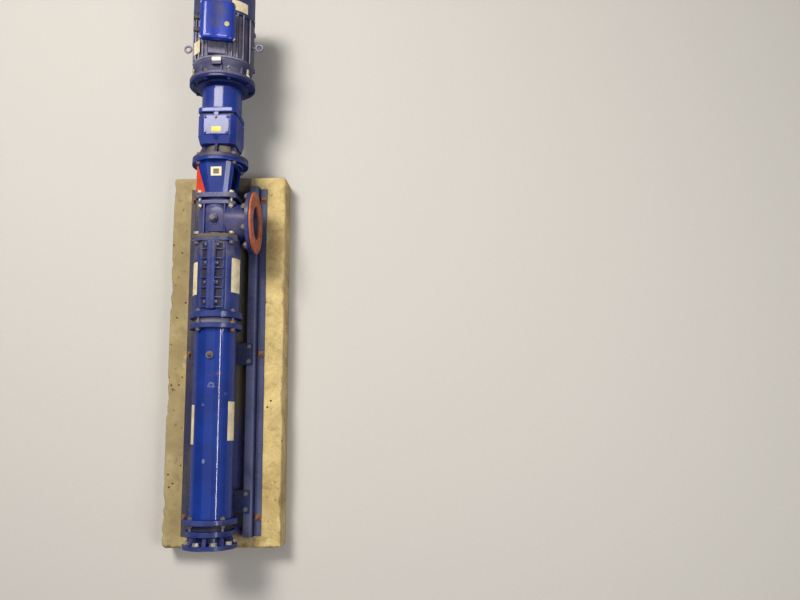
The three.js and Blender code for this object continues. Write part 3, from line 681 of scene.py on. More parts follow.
# Its dust, raised for the rims, is partly settled dust and partly a painted highlight on their tops.
CASING_PAINT = paint("casing_paint", (0.002, 0.024, 0.2, 1), (0.002, 0.014, 0.11, 1), DUST_GREY,
                     dust=0.45, patch=7.0, grain=0.8)
ACCESS_PAINT = paint("access_paint", (0.0015, 0.025, 0.22, 1), (0.0015, 0.014, 0.11, 1), DUST_GREY,
                     dust=0.4, patch=7.0, chips=0.3, grain=0.8, dirtier=(1215, 1275))
SUCTION_PAINT = paint("suction_paint", (0.002, 0.026, 0.23, 1), (0.002, 0.014, 0.11, 1), BROWN_DUST,
                      patch=15.0, runs=0.4, gloss=0.3, grain=0.9)
OLIVE_FLANGE_PAINT = paint("olive_flange_paint", (0.01, 0.02, 0.12, 1), (0.01, 0.016, 0.09, 1),
                           (0.115, 0.09, 0.055, 1), dust=2.6, patch=9.0, edges=0.4, runs=0.4, gloss=0.3)
DUSTY_FLANGE_PAINT = paint("dusty_flange_paint", (0.01, 0.022, 0.16, 1), (0.008, 0.016, 0.1, 1),
                           (0.16, 0.152, 0.22, 1), dust=1.4, patch=9.0, edges=0.4, gloss=0.3)
NAVY_PAINT = paint("navy_paint", (0.001, 0.012, 0.13, 1), (0.0008, 0.007, 0.07, 1), DUST_GREY,
                   dust=0.12, patch=5.0, edges=0.4, chips=0.1, runs=0.2, gloss=0.16, coat=0.2)
LANTERN_PAINT = paint("lantern_paint", (0.0015, 0.027, 0.24, 1), (0.001, 0.016, 0.15, 1), DUST_GREY,
                      dust=0.04, patch=7.0, chips=0.0, runs=0.1, grain=0.4, coat=0.5)
DRIVE_PAINT = paint("drive_paint", (0.002, 0.028, 0.26, 1), (0.0015, 0.017, 0.17, 1), (0.16, 0.15, 0.22, 1),
                    dust=0.15, patch=5.0, chips=0.1, runs=0.1, gloss=0.12, grain=0.4, coat=0.5)
LID_PAINT = paint("lid_paint", (0.002, 0.034, 0.4, 1), (0.0015, 0.022, 0.25, 1), (0.1, 0.1, 0.17, 1),
                  dust=0.12, patch=3.0, runs=0.15, gloss=0.12, grain=0.3, coat=0.5, marks=LID_MARKS)
# The recessed output flange's paint is darker as painted shade, with brown dust on it.
SHADED_RECESS_PAINT = paint("shaded_recess_paint", (0.004, 0.018, 0.13, 1), (0.003, 0.01, 0.07, 1), BROWN_DUST,
                     dust=0.6, patch=8.0, edges=0.4, gloss=0.35, grain=0.8)
# Its heavy dust is partly settled dust and partly painted light that brightens the shaded fins.
MOTOR_PAINT = paint("motor_paint", (0.05, 0.052, 0.12, 1), (0.04, 0.043, 0.1, 1), (0.28, 0.265, 0.35, 1),
                    dust=1.25, edges=0.4, runs=0.2, gloss=0.35, grain=0.7, coat=0.2)
SHIELD_PAINT = paint("shield_paint", (0.034, 0.038, 0.11, 1), (0.02, 0.024, 0.075, 1),
                     (0.17, 0.165, 0.25, 1),
                     dust=0.75, edges=0.4, runs=0.2, gloss=0.35, grain=0.7, coat=0.2)
COWL_PAINT = paint("cowl_paint", (0.004, 0.018, 0.14, 1), (0.003, 0.012, 0.08, 1), (0.12, 0.11, 0.16, 1),
                   patch=4.0, edges=0.4, runs=0.2, gloss=0.25, grain=0.2)
RAIL_RIGHT = paint("rail_paint_right", (0.006, 0.018, 0.13, 1), (0.004, 0.01, 0.07, 1),
                   (0.14, 0.15, 0.24, 1),
                   dust=0.6, patch=2.5, chips=0.4, runs=0.5, gloss=0.35, grain=0.4, coat=0.2)
# The left rail's paint is a darker copy of the right's as painted shade, with brown dust on it.
SHADED_RAIL_LEFT = paint("shaded_rail_paint_left", (0.006, 0.016, 0.1, 1), (0.004, 0.009, 0.05, 1),
                  (0.11, 0.09, 0.075, 1),
                  dust=0.95, patch=3.0, chips=0.4, runs=0.6, gloss=0.35, grain=0.4, coat=0.15)
# Near-black paint with dust on it that stands for painted shade: on the ties under the pump, in the seam's
# pockets and at the stator's discharge end.
DARK_SHADE_PAINT = paint("dark_shade_paint", (0.008, 0.01, 0.04, 1), (0.005, 0.006, 0.02, 1), (0.05, 0.046, 0.06, 1),
                    dust=1.0, edges=0.3, runs=0.5, gloss=0.4, grain=0.5, coat=0.1)
# The saddles' paint is darkened as painted shade for the shadow under the pump, with dust on it.
SHADED_SADDLE_PAINT = paint("shaded_saddle_paint", (0.005, 0.018, 0.12, 1), (0.004, 0.012, 0.07, 1),
                     (0.055, 0.055, 0.085, 1),
                     dust=0.8, patch=8.0, edges=0.3, runs=0.5, gloss=0.4, grain=0.5, coat=0.1)
GUARD_PAINT = paint("guard_paint", (0.75, 0.045, 0.012, 1), (0.5, 0.022, 0.01, 1), SAND_DUST,
                    dust=0.2, patch=9.0, edges=0.4, runs=0.1, grain=0.3)
CONCRETE = concrete()
ZINC = bare_metal("zinc_bolts", (0.46, 0.44, 0.38, 1), (0.2, 0.16, 0.1, 1), 0.42, 0.45, 0.75)
DULL = bare_metal("dull_bolts", (0.12, 0.12, 0.17, 1), (0.1, 0.07, 0.05, 1), 0.45, 0.6, 0.6)
RUSTY = bare_metal("rusty_bolts", (0.22, 0.13, 0.07, 1), (0.23, 0.065, 0.018, 1), 0.55, 0.9, 0.4)
POLISHED = bare_metal("polished_steel", (0.75, 0.75, 0.76, 1), (0.4, 0.38, 0.35, 1), 0.14, 0.1)
BRASS = bare_metal("probe_brass", (0.16, 0.1, 0.05, 1), (0.07, 0.045, 0.03, 1), 0.45, 0.6)
GASKET = matte("gasket_rubber", (0.44, 0.09, 0.025, 1), (0.24, 0.06, 0.02, 1), 0.75, 34.0, 0.25)
# Black rubber of the stator's lining, used also as painted shade in the gearbox's slots and boss hole.
RUBBER_AND_SHADE = matte("lining_rubber", (0.016, 0.016, 0.017, 1), (0.03, 0.029, 0.028, 1), 0.7, 30.0, 0.1)
PLASTIC = matte("black_plastic", (0.018, 0.018, 0.02, 1), (0.03, 0.03, 0.033, 1), 0.45, 40.0, 0.3)
LABEL = matte("blank_plate", (0.78, 0.7, 0.48, 1), (0.6, 0.5, 0.3, 1), 0.42, 26.0, 0.2, 0.05)
YELLOW = matte("yellow_patch", (0.85, 0.62, 0.02, 1), (0.7, 0.48, 0.02, 1), 0.4, 30.0, 0.1, 0.05)
FADED_YELLOW = matte("faded_yellow_patch", (0.5, 0.42, 0.06, 1), (0.3, 0.26, 0.05, 1), 0.5, 60.0, 0.3, 0.1)
OLIVE = matte("olive_dust", (0.13, 0.11, 0.07, 1), (0.03, 0.032, 0.06, 1), 0.8, 26.0, 0.2, 0.5)


# Fasteners

def bolt(size, head, washer=True, point=0.0):
    """A hexagon head or nut standing on its washer along +Y, with a bare thread past it."""
    across = size * 1.62 / 2 / np.cos(np.pi / 6)
    angle = np.arange(6) * np.pi / 3
    hexagon = np.stack([across * np.cos(angle), across * np.sin(angle)], -1)
    base = 0.16 * size if washer else 0.0
    parts = [swept(hexagon, base, base + head, size * 0.07, size * 0.12, 2)]
    if washer:
        parts.append(tube(size * 0.5, size * 1.05, 0, base, 0.4, 24))
    if point:
        pitch = size * 0.16
        turns = int(point / pitch)
        ridge = np.tile([size * 0.5, size * 0.43], turns)
        step = base + head - 1 + np.arange(2 * turns) * pitch / 2
        profile = [(0, step[0])] + list(zip(ridge, step)) + [(0, step[-1])]
        parts.append(turned(profile, 0.2, 16, 1))
    return merge(*parts)


def bolt_set(name, places, direction, size, material=ZINC, slot="bright_steel", head=None, **shape):
    """The same bolt or nut at several places, its head 0.66 of its size high unless it is given."""
    one = bolt(size, size * 0.66 if head is None else head, **shape)
    piece(name, placed(one, places, direction), material)


def stud_set(name, radius, length, places, material=DULL):
    """Plain round bars from several places towards the motor."""
    piece(name, placed(disc(radius, 0, length, 1, 20), places, BACK), material)


# Plinth and base

def make_plinth():
    """A box carried along the axis in rounded rings and closed over both ends. Slow waves push its
    skin in, and break its top edges where they run high."""
    edge, step, cap_rows = 9, 6.0, 24
    edge_depth, end_reach, side_reach = 34, 40, 16
    start, end = span("concrete_plinth")
    half = half_width("concrete_plinth")
    top, bottom = height("concrete_plinth", 1), height("concrete_plinth", 0)
    outline = rounded(rectangle(-half, half, bottom, top), [2, 2, edge, edge], 5)
    loop = np.vstack([outline, outline[:1]])
    sides = []
    for a, b in zip(loop[:-1], loop[1:]):
        parts = max(1, int(np.linalg.norm(b - a) / step))
        sides.append(a + (b - a) * (np.arange(parts) / parts)[:, None])
    ring = np.concatenate(sides)
    middle = np.array([0, (top + bottom) / 2])

    t = np.linspace(0, np.pi / 2, 4)
    eased = edge * (1 - np.sin(t))
    along = edge * (1 - np.cos(t))
    straight = np.linspace(start + edge, end - edge, int((end - start) / step))[1:-1]
    stations = np.concatenate([start + along, straight, (end - along)[::-1]])
    depth = np.concatenate([eased, np.zeros(len(straight)), eased[::-1]])
    size = np.abs(ring - middle).max(0)
    layers = middle + (ring - middle)[None] * (1 - depth[:, None, None] / size)
    body = np.insert(layers, 1, 0, axis=2)
    body[:, :, 1] = stations[:, None]
    levels = np.linspace(0.97, 0, cap_rows)[:, None, None]
    near = np.insert(middle + (layers[0] - middle)[None] * levels[::-1], 1, start, axis=2)
    far = np.insert(middle + (layers[-1] - middle)[None] * levels, 1, end, axis=2)
    points, faces = grid(np.concatenate([near, body, far]), wrap_cols=True)

    x, s, z = points.T
    ripple = waves(x, s, 0.011) + 0.5 * waves(s + 90, z + x, 0.037)
    top_edge = np.clip(1 - (top - z) / edge_depth, 0, 1)
    near_edge = np.clip(1 - (s - start) / end_reach, 0, 1) * top_edge
    bite = near_edge * (7 + 9 * np.clip(waves(x, 3 * x, 0.023), 0, 1) + 4 * waves(x, z, 0.09))
    side_edge = np.clip((np.abs(x) - half + side_reach) / side_reach, 0, 1) * top_edge
    breaks = waves(s, 2 * s + 300, 0.012) + 0.6 * waves(s, z, 0.07)
    chip = side_edge * 9 * np.clip(breaks - 0.25, 0, 1)
    s = s + bite
    z = np.where(z > bottom + 5, z - 0.5 * bite - 0.5 * chip - 0.7 * (1 + ripple), z)
    x = x - np.sign(x) * (chip + 0.6 * (1 + np.clip(ripple, -1, 1)))
    rough = np.stack([x, s, z], -1)
    piece("concrete_plinth_skin", (rough, faces), CONCRETE, ["concrete_plinth"], 60)


def make_rails():
    """Pressed rails: foot, web and cap as one folded sheet carried along the axis."""
    foot, cap, bend = 35.5, 42, 9
    for name, side, coat in (("base_rail_left", -1, SHADED_RAIL_LEFT), ("base_rail_right", 1, RAIL_RIGHT)):
        outer = farthest(name)
        web = outer - foot
        bottom, under_cap = height(name, 0), height(name, 1) - RAIL_SHEET
        path = [(outer, bottom), (web, bottom), (web, under_cap), (web + RAIL_SHEET - cap, under_cap)]
        outline = sheet_outline(path, -RAIL_SHEET, bend) * [side, 1]
        piece(name + "_folded", swept(outline, *span(name), 0.8), coat, [name])


def make_ties():
    """Channels between the webs, folded along the pump's width."""
    sheet, bend = 3, 8
    for i in (1, 2, 3):
        name = f"base_tie_{i}"
        start, end = span(name)
        near, far = start + sheet, end - sheet
        half = half_width(name)
        bottom, under = height(name, 0), height(name, 1) - sheet
        path = [(near, bottom), (near, under), (far, under), (far, bottom)]
        points, faces = swept(sheet_outline(path, sheet, bend), -half, half, 0.6)
        # The channels under the pump are painted near-black as painted shade.
        piece(name + "_channel", (points[:, [1, 0, 2]], faces), DARK_SHADE_PAINT, [name])


def make_saddles():
    """Plates on the rails' caps with two upright webs cut to the body they carry, and a rib
    between the webs."""
    plate, web, web_in, rib_in, bolt_in = 10, 12, 22, 30, 16
    for name, body, reach in (
        ("discharge_saddle", TUBE_R, 70), ("stator_saddle", TUBE_R, 70), ("suction_saddle", SUCTION_R, 60),
    ):
        radius = body + SEAT
        start, end = span(name)
        half, low = half_width(name), height(name, 0)
        top = low + plate
        angle = np.arcsin(np.linspace(-reach / radius, reach / radius, 24))
        arc = np.stack([radius * np.sin(angle), -radius * np.cos(angle)], -1)
        outline = np.concatenate([[(-reach, top - 0.5), (reach, top - 0.5)], arc[::-1]])
        parts = [block(-half, half, start, end, low, top, 1.2)]
        parts += [swept(outline, s, s + web, 0.8) for s in (start + web_in, end - web_in - web)]
        parts.append(block(-web / 2, web / 2, start + rib_in, end - rib_in, top - 1, -radius + 0.2, 0.8))
        piece(name + "_welded", merge(*parts), SHADED_SADDLE_PAINT, [name])
        bolt_x, stations = half - bolt_in, (start + bolt_in, end - bolt_in)
        places = [(x, s, top) for x in (-bolt_x, bolt_x) for s in stations]
        bolt_set(name + "_bolts", places, (0, 0, 1), 10, DULL, head=6.5)


def make_anchors():
    """Anchor studs on small plates, through the rails' feet into the plinth."""
    plate, half_x, half_s = 2.5, 13, 14
    foot_top = height("base_rail_right", 0) + RAIL_SHEET
    offset = farthest("base_rail_right") - 16
    places = [(x, s, foot_top) for x in (-offset, offset) for s in ANCHOR_STATIONS]
    bolt_set("plinth_anchors", places, (0, 0, 1), 12, RUSTY, point=20)
    pads = [block(x - half_x, x + half_x, s - half_s, s + half_s, z, z + plate, 1) for x, s, z in places]
    piece("anchor_plates", merge(*pads), RUSTY)


# Pump

def make_discharge_cover():
    """Turned end cover with a raised face, webs between its flange bolts, and its joint flange."""
    port, face, flange, flange_end = 51, 78, 114.5, 20
    neck, joint, joint_start, joint_end = 70, 105, 55, 77
    bolt_circle, bolt_size, web_half = 95.3, 16, 8
    profile = [
        (port, 0), (face, 0), (face + 1.5, 1.6), (flange, 1.6), (flange, flange_end), (80, flange_end),
        (neck, 26), (neck, 48), (80, joint_start), (joint, joint_start), (joint, joint_end),
        (port + 10, joint_end), (port + 9, 60), (port, 34),
    ]
    parts = [turned(profile, 1.6)]
    outlines = [rectangle(-web_half, web_half, 60, tip) for tip in (104, 92)]
    web = lofted(*outlines, flange_end - 1, joint_start + 1, 0.4)
    parts += [turn(web, k * 45) for k in range(8)]
    piece("discharge_cover_cast", merge(*parts), CASING_PAINT, ["discharge_cover"])
    bolt_set("discharge_bolts", round_places(bolt_circle, flange_end, EIGHT), BACK, bolt_size)
    ends = round_places(bolt_circle, 2.2, EIGHT)
    bolt_set("discharge_bolt_ends", ends, FRONT, bolt_size, head=1.2, washer=False)


def make_clamps():
    """Clamp rings at both ends of the stator, with the studs that draw them to the castings."""
    stud, size = 6, 12
    inner = TUBE_R + SEAT
    outer = half_width("discharge_clamp_ring")
    for name in ("discharge_clamp_ring", "drive_clamp_ring"):
        start, end = span(name)
        ring = tube(inner, outer - 1, start, end, 3)
        bosses = [turn(block(-18, 18, start + 1.5, end - 1.5, inner, outer, 4), a) for a in FOUR]
        piece(name + "_cast", merge(ring, *bosses), CASING_PAINT, [name])

    circle, from_cover = 98, 58
    start, end = span("discharge_clamp_ring")
    stud_set("discharge_studs", stud, end - from_cover - 2, round_places(circle, from_cover, FOUR))
    bolt_set("discharge_stud_nuts", round_places(circle, start, FOUR), FRONT, size, DULL)
    bolt_set("clamp_stud_nuts", round_places(circle, end, FOUR), BACK, size, DULL, point=6)

    circle = (inner + outer) / 2
    start, end = span("drive_clamp_ring")
    reach = span("access_casing_right")[0] + 27 - start
    angles = FOUR + 12
    stud_set("drive_studs", stud, reach, round_places(circle, start, angles))
    for ending, chosen, finish in (("_rusty", angles[:1], RUSTY), ("", angles[1:], DULL)):
        bolt_set("drive_stud_nuts" + ending, round_places(circle, end, chosen), BACK, size, finish)
        heads = round_places(circle, start, chosen)
        bolt_set("drive_stud_heads" + ending, heads, FRONT, size, finish, point=7)
    bolt_set("access_stud_nuts", round_places(circle, start + reach, angles), BACK, size, DULL, point=6)


def make_stator():
    """Stator tube with a shallow step at each end and its rubber lining. A dusty band lies between
    the drive end's flanges, and a dark band of painted shade between the discharge end's."""
    wall, step, step_length, lining_bore = 8, 0.7, 19, 61
    start, end = span("stator_tube")
    inner, low = TUBE_R - wall, TUBE_R - step
    profile = [
        (inner, start), (low, start), (low, start + step_length), (TUBE_R, start + step_length + 2),
        (TUBE_R, end - step_length - 2), (low, end - step_length), (low, end), (inner, end),
    ]
    piece("stator_tube_skin", turned(profile, 1.0, 256), TUBE_PAINT, ["stator_tube"])
    collar = tube(TUBE_R - 1, TUBE_R + 2.4, span("drive_clamp_ring")[1] + 1, end - 1, 1.2, 160)
    piece("stator_dusty_collar", collar, DUSTY_FLANGE_PAINT)
    # Painted shade: a dark band on the tube between the cover and the discharge clamp ring.
    painted_shade = tube(TUBE_R - 1, TUBE_R + 1.6, start + 1, span("discharge_clamp_ring")[0] - 1, 0.6, 160)
    piece("stator_end_shade", painted_shade, DARK_SHADE_PAINT)
    lining = tube(lining_bore, inner - SEAT, start, end, 2)
    piece("stator_lining_bore", lining, RUBBER_AND_SHADE, ["stator_lining"])


def make_rotor():
    """Single-start screw: a circle of radius r whose centre winds at the throw t about an axis that
    is offset by t: (t cos p + t + r cos a, s, t sin p + r sin a), with p one turn to the pitch."""
    radius, throw, pitch, sides = 36, 12, 150, 64
    start, end = span("rotor")
    rings = int((end - start) / 4)
    s = np.linspace(start, end, rings)
    phase = (s - start) / pitch * 2 * np.pi
    around = np.linspace(0, 2 * np.pi, sides, endpoint=False)
    x = throw * np.cos(phase)[:, None] + throw + radius * np.cos(around)
    z = throw * np.sin(phase)[:, None] + radius * np.sin(around)
    points = np.stack([x, np.broadcast_to(s[:, None], x.shape), z], -1)
    verts, faces = grid(points, wrap_cols=True)
    screw = verts, faces + [end_caps(sides, rings)]
    piece("rotor_screw", screw, POLISHED, ["rotor"], 50)


def make_shafts():
    """Coupling rod with a head at each end, drive shaft, and the seal housing's plate and hub."""
    head, rod, head_length, taper = 36, 16, 70, 12
    start, end = span("coupling_rod")
    neck = head_length + taper
    profile = [
        (0, start), (head, start), (head, start + head_length), (rod, start + neck), (rod, end - neck),
        (head, end - head_length), (head, end), (0, end),
    ]
    piece("coupling_rod_turned", turned(profile, 3, 64), POLISHED, ["coupling_rod"])
    shaft = 24
    start, end = span("drive_shaft")
    piece("drive_shaft_turned", disc(shaft, start, end, 2, 96), POLISHED, ["drive_shaft"])
    plate, hub, plate_end = 78, 46, 12.4
    start, end = span("seal_housing")
    profile = [
        (shaft + SEAT, start), (plate, start), (plate, start + plate_end), (hub + 4, start + plate_end),
        (hub, start + 18), (hub, end - 20), (hub + 8, end - 20), (hub + 8, end - 8), (hub - 6, end),
        (shaft + SEAT, end),
    ]
    piece("seal_housing_turned", turned(profile, 1.2, 96), CASING_PAINT, ["seal_housing"])
    bolt_set("seal_bolts", round_places(hub + 1, end - 20, FOUR), FRONT, 8, point=4)


def half_turned(profile, side, soft=2.0, sides=64):
    """A closed profile turned through half a turn on one side of the seam, with flat ends."""
    gap = 0.15
    curve = rounded(profile, soft, 3)
    angle = np.linspace(-np.pi / 2, np.pi / 2, sides)
    r = curve[:, :1]
    x = side * (r * np.cos(angle) + gap)
    points = np.stack([x, np.broadcast_to(curve[:, 1:], x.shape), r * np.sin(angle)], -1)
    verts, faces = grid(points.transpose(1, 0, 2), wrap_cols=True)
    return verts, faces + [end_caps(len(curve), sides)]


def make_access_casing():
    """Two cast halves bolted across a raised seam above and below, with ribs that part the bolt
    pockets, a round flange to the stator and a cut square one to the suction casing."""
    flange, joint_flange, gap, bolt_z = 27, 16, 0.2, 108
    start, end = span("access_casing_right")
    joint = end - joint_flange
    seam = (start + flange + 6, joint - 6)
    ribs = seam[0] + 7 + np.arange(RIBS) * RIB_PITCH
    pockets = np.append((ribs[1:] + ribs[:-1]) / 2, (ribs[-1] + seam[1]) / 2) + 3
    bolted = pockets[::2]
    profile = [
        (CASING_BORE, start), (CASING_FLANGE, start), (CASING_FLANGE, start + flange),
        (CASING_R + 1.5, start + flange + 3), (CASING_R, start + flange + 11), (CASING_R, end),
        (CASING_BORE, end),
    ]
    half, corner, inner = JOINT_HALF, JOINT_CORNER, CASING_BORE - 1
    square = [
        (gap, half), (half - corner, half), (half, half - corner), (half, corner - half),
        (half - corner, -half), (gap, -half), (gap, -inner), (0.7 * inner, -0.7 * inner), (inner, 0),
        (0.7 * inner, 0.7 * inner), (gap, inner),
    ]
    rail = [(46, 84), (58, 78), (57, 88), (50, 96), (44, 96)]
    rib = [(10, 90), (10, 118), (SEAM_HALF + 4, 116), (50, 99), (56, 84), (30, 84)]
    floor = [(SEAM_HALF - 3, 92), (SEAM_HALF - 3, 105), (SEAM_HALF + 2, 104), (47, 95.5), (47, 88)]
    for name, side, lip_top in (
        ("access_casing_left", -1, SEAM_TOP - 1.5), ("access_casing_right", 1, SEAM_TOP),
    ):
        lip = [(gap, 96), (SEAM_HALF, 96), (SEAM_HALF - 1, lip_top - 6), (SEAM_HALF - 6, lip_top - 1),
               (6, lip_top - 1), (3, lip_top), (gap, lip_top - 1)]
        parts = [half_turned(profile, side), swept(mirrored(square, side), joint, end, 1.6, 3)]
        pocket_shades = []
        for up in (1, -1):
            parts.append(swept(mirrored(lip, side, up), *seam, 3, 1.5))
            parts.append(swept(mirrored(rail, side, up), seam[0] + 4, seam[1] - 2, 3, 2))
            parts += [swept(mirrored(rib, side, up), s, s + 6, 1.6, 3) for s in ribs]
            pads = [(side * (SEAM_HALF - 2), s, up * bolt_z) for s in bolted]
            parts += [placed(disc(13, 0, 5, 2, 24), [place], (side, 0, 0)) for place in pads]
            # Dark sheets on the pockets' floors are painted shade.
            pocket_shades.append(swept(mirrored(floor, side, up), seam[0] + 7, seam[1] - 5, 1))
        piece(name + "_cast", merge(*parts), ACCESS_PAINT, [name])
        which = name.split("_")[-1]
        piece("seam_pocket_shade_" + which, merge(*pocket_shades), DARK_SHADE_PAINT)
        places = [(side * (SEAM_HALF + 3), s, up * bolt_z) for s in bolted for up in (1, -1)]
        bolt_set("seam_bolts_" + which, places, (side, 0, 0), 9, DULL, head=6, point=3)
    bolt_x = half - 25
    corners = [(x, z) for x in (-bolt_x, bolt_x) for z in (-bolt_x, bolt_x)]
    bolt_set("joint_nuts_front", [(x, joint, z) for x, z in corners], FRONT, 14, DULL, point=6)
    behind = end + joint_flange + SEAT
    bolt_set("joint_nuts_back", [(x, behind, z) for x, z in corners], BACK, 14)


def make_suction_casing():
    """Cast chamber with square flanges, a neck on one side that narrows as (1 - t)^2 from the
    chamber out to a round flange, an arched pad, two ribs and a plug boss on top."""
    start, end = span("access_casing_right")[1], SUCTION_END
    middle = SUCTION_STATION
    r, bore, flange, rear_flange = SUCTION_R, 78, 16, 17
    port, side_flange, raised = 75, 140, 1.6
    face = farthest("suction_casing")
    back = face - 18
    front = swept(cut_square(JOINT_HALF, JOINT_CORNER), start, start + flange, 1.8, 8)
    rear = swept(cut_square(90, 32), end - rear_flange, end, 1.8, 8)
    body = turned([(bore, start + 1), (r + 5, start + 1), (r + 4, start + 18), (r, start + 28),
                   (r, end - 36), (r - 7, end - 26), (r - 7, end - 2), (bore, end - 2)], 6)
    flare = [(82.5 + 14 * (1 - t) ** 2, 40 + t * (back - 40 - 8)) for t in np.linspace(0, 1, 12)]
    neck = turned([(port, 30)] + flare + [(88, back - 2), (side_flange, back), (side_flange, face - raised),
                  (106, face - raised), (105, face), (port, face)], 1.5, 160)

    pad_x, pad_half, pad_top = 12, 34, 97
    t = np.linspace(0, np.pi, 24)
    crown = np.stack([pad_x + pad_half * np.cos(t), 24 + 32 * np.sin(t)], -1)
    arch = np.concatenate([crown, [(pad_x - pad_half, -60), (pad_x + pad_half, -60)]])
    pad = laid_flat(swept(arch, 78, pad_top, 3), middle)
    frame_in = rounded(rectangle(-15, 15, -30, 24), 5)
    step = laid_flat(swept(frame_in, pad_top - 2, pad_top + 2.5, 1.5), middle)
    boss = upright(turned([(0, 80), (23, 80), (20, 99), (20, 110), (0, 110)], 2.5, 48), 0, middle)
    ribs = [block(x - 4, x + 4, start + 12, end - 12, 60, r + 1, 2.5) for x in (-46, 46)]
    piece("suction_casing_cast", merge(body, along_x(neck, middle), pad, step, boss, *ribs),
          SUCTION_PAINT, ["suction_casing"])
    piece("suction_front_flange", front, OLIVE_FLANGE_PAINT)
    piece("suction_rear_flange", rear, DUSTY_FLANGE_PAINT)

    top = height("suction_plug", 0)
    plug = upright(disc(15, top, top + 4, 1, 32), 0, middle)
    head = placed(bolt(16, 10, washer=False), [(0, middle, top + 4)], (0, 0, 1))
    piece("suction_plug_head", merge(plug, head), DULL, ["suction_plug"])
    bolt_circle = 120.6
    along, up = bolt_circle * np.sin(np.radians(EIGHT)), bolt_circle * np.cos(np.radians(EIGHT))
    ring = np.stack([np.full(len(EIGHT), back), middle + along, up], -1)
    bolt_set("suction_nuts", ring, (-1, 0, 0), 18, DULL, point=9)
    thread = placed(disc(9.4, -4, 9.5, 1, 24), ring + [face - back + 0.1, 0, 0], (1, 0, 0))
    piece("suction_bolt_ends", thread, ZINC)
    low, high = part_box("suction_gasket")
    gasket = tube(port + 0.5, side_flange - 0.5, low.x / MM, high.x / MM, 2.6, 160)
    piece("suction_gasket_ring", along_x(gasket, middle), GASKET, ["suction_gasket"])
    corner = 68
    places = [(x, end - rear_flange, z) for x in (-corner, corner) for z in (-corner, corner)]
    bolt_set("back_flange_nuts", places, FRONT, 14, point=7)


def make_lantern():
    """Square neck flange, flat-sided shells above and below that widen towards a round disc, a bar
    along each shell's left edge, and posts that leave a window on each side."""
    start, end = span("lantern")
    neck_end, disc_start = start + 22, end - 15
    radius = half_width("lantern")
    shell_near = [(-62, 56), (-62, 66), (-25, 86), (35, 86), (52, 74.9), (60, 65), (60, 55), (48, 55),
                  (30, 70), (-24, 74), (-50, 56)]
    shell_far = [(-84, 66), (-84, 75), (-43, 98), (50, 98), (69, 85.8), (81, 75), (81, 65), (69, 65),
                 (46, 82), (-40, 86), (-72, 66)]
    bar_near = [(-22, 84), (-26, 88.2), (-31, 83.5), (-28, 76)]
    bar_far = [(-40, 96), (-44, 100.5), (-49, 95), (-46, 86)]
    shell = []
    for near, far, bevel in ((shell_near, shell_far, 0.1), (bar_near, bar_far, 0.5)):
        for up in (1, -1):
            outlines = mirrored(near, 1, up), mirrored(far, 1, up)
            shell.append(lofted(*outlines, neck_end - 2, disc_start + 2, bevel))
    ring = turned([(80, disc_start), (radius, disc_start), (radius, end - 1), (radius - 3, end), (80, end)],
                  1.4, 160)
    collar = turned([(72, disc_start - 6), (98, disc_start - 6), (104, disc_start + 2),
                     (72, disc_start + 4)], 2)
    posts = []
    for side in (1, -1):
        for x, half, lean, first, last in (
            (50, 62, 3, neck_end - 2, neck_end + 14), (70, 70, 2, disc_start - 14, disc_start + 2),
        ):
            near = rectangle(x, x + 12, -half, half)
            far = rectangle(x + lean, x + lean + 12, -half - 2, half + 2)
            posts.append(lofted(mirrored(near, side), mirrored(far, side), first, last, 1))
    neck = swept(cut_square(93, 30), start, neck_end, 2, 8)
    piece("lantern_neck_flange", neck, DUSTY_FLANGE_PAINT)
    piece("lantern_cast", merge(ring, collar, *posts), LANTERN_PAINT, ["lantern"])
    piece("lantern_shell", merge(*shell), LANTERN_PAINT, sharp=5)

    corner = 70
    corners = [(x, z) for x in (-corner, corner) for z in (-corner, corner)]
    studs = placed(disc(6.5, -17, 4, 1, 20), [(x, start, z) for x, z in corners], BACK)
    piece("lantern_studs", studs, ZINC)
    bolt_set("lantern_nuts", [(x, neck_end, z) for x, z in corners], BACK, 14, point=5)
    bolt_set("gearbox_flange_nuts", round_places(113, disc_start, FOUR), FRONT, 12, DULL, point=6)

    climb = shell_far[3][1] - shell_near[3][1]
    length = disc_start - neck_end
    tilt = np.degrees(np.arctan2(climb, length))
    rise = shell_near[3][1] + climb * (LANTERN_PLATE - neck_end) / length
    plate = turn(block(-24, 24, 0, 41, 0, 1.4, 0.5), tilt, "X")
    badge = turn(block(-13, 13, 9, 32, 1.2, 2.0, 0.3), tilt, "X")
    piece("lantern_blank_plate", moved(plate, (5, LANTERN_PLATE, rise + 0.2)), LABEL)
    piece("lantern_plate_centre", moved(badge, (5, LANTERN_PLATE, rise + 0.2)), OLIVE)


def make_guard():
    """Folded sheet over the left window, with a flap bent over the shell's edge, and two screws
    through each tab."""
    skin, fold, tab_x, screw_x = 1.3, 9, -64, -78
    start, end = span("lantern_guard")
    low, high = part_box("lantern_guard")
    face = low.x / MM
    half = (high.z - low.z) / 2 / MM
    upper = [(tab_x, half - skin), (face + fold, half - skin), (face + skin, half - fold)]
    outline = sheet_outline(upper + mirrored(upper, 1, -1)[::-1], 2.2, 5)
    sheet = swept(outline, start, end, 0.3)
    piece("lantern_guard_sheet", sheet, GUARD_PAINT, ["lantern_guard"])
    near = [(-90, 52), (-66, 65), (-45, 75.6), (-45, 78), (-67, 67.6), (-92, 54)]
    far = [(-89, 52), (-85.5, 75), (-79, 78), (-79, 80.4), (-87.6, 77), (-91.4, 54)]
    flap = lofted(near, far, start + 2, end - 12, 0.2)
    piece("lantern_guard_flap", flap, GUARD_PAINT)
    for which, up in (("top", 1), ("low", -1)):
        places = [(screw_x, s, up * (half - 0.2)) for s in (start + 18, end - 18)]
        bolt_set("guard_screws_" + which, places, (0, 0, up), 6, head=3.5)


# Gearbox

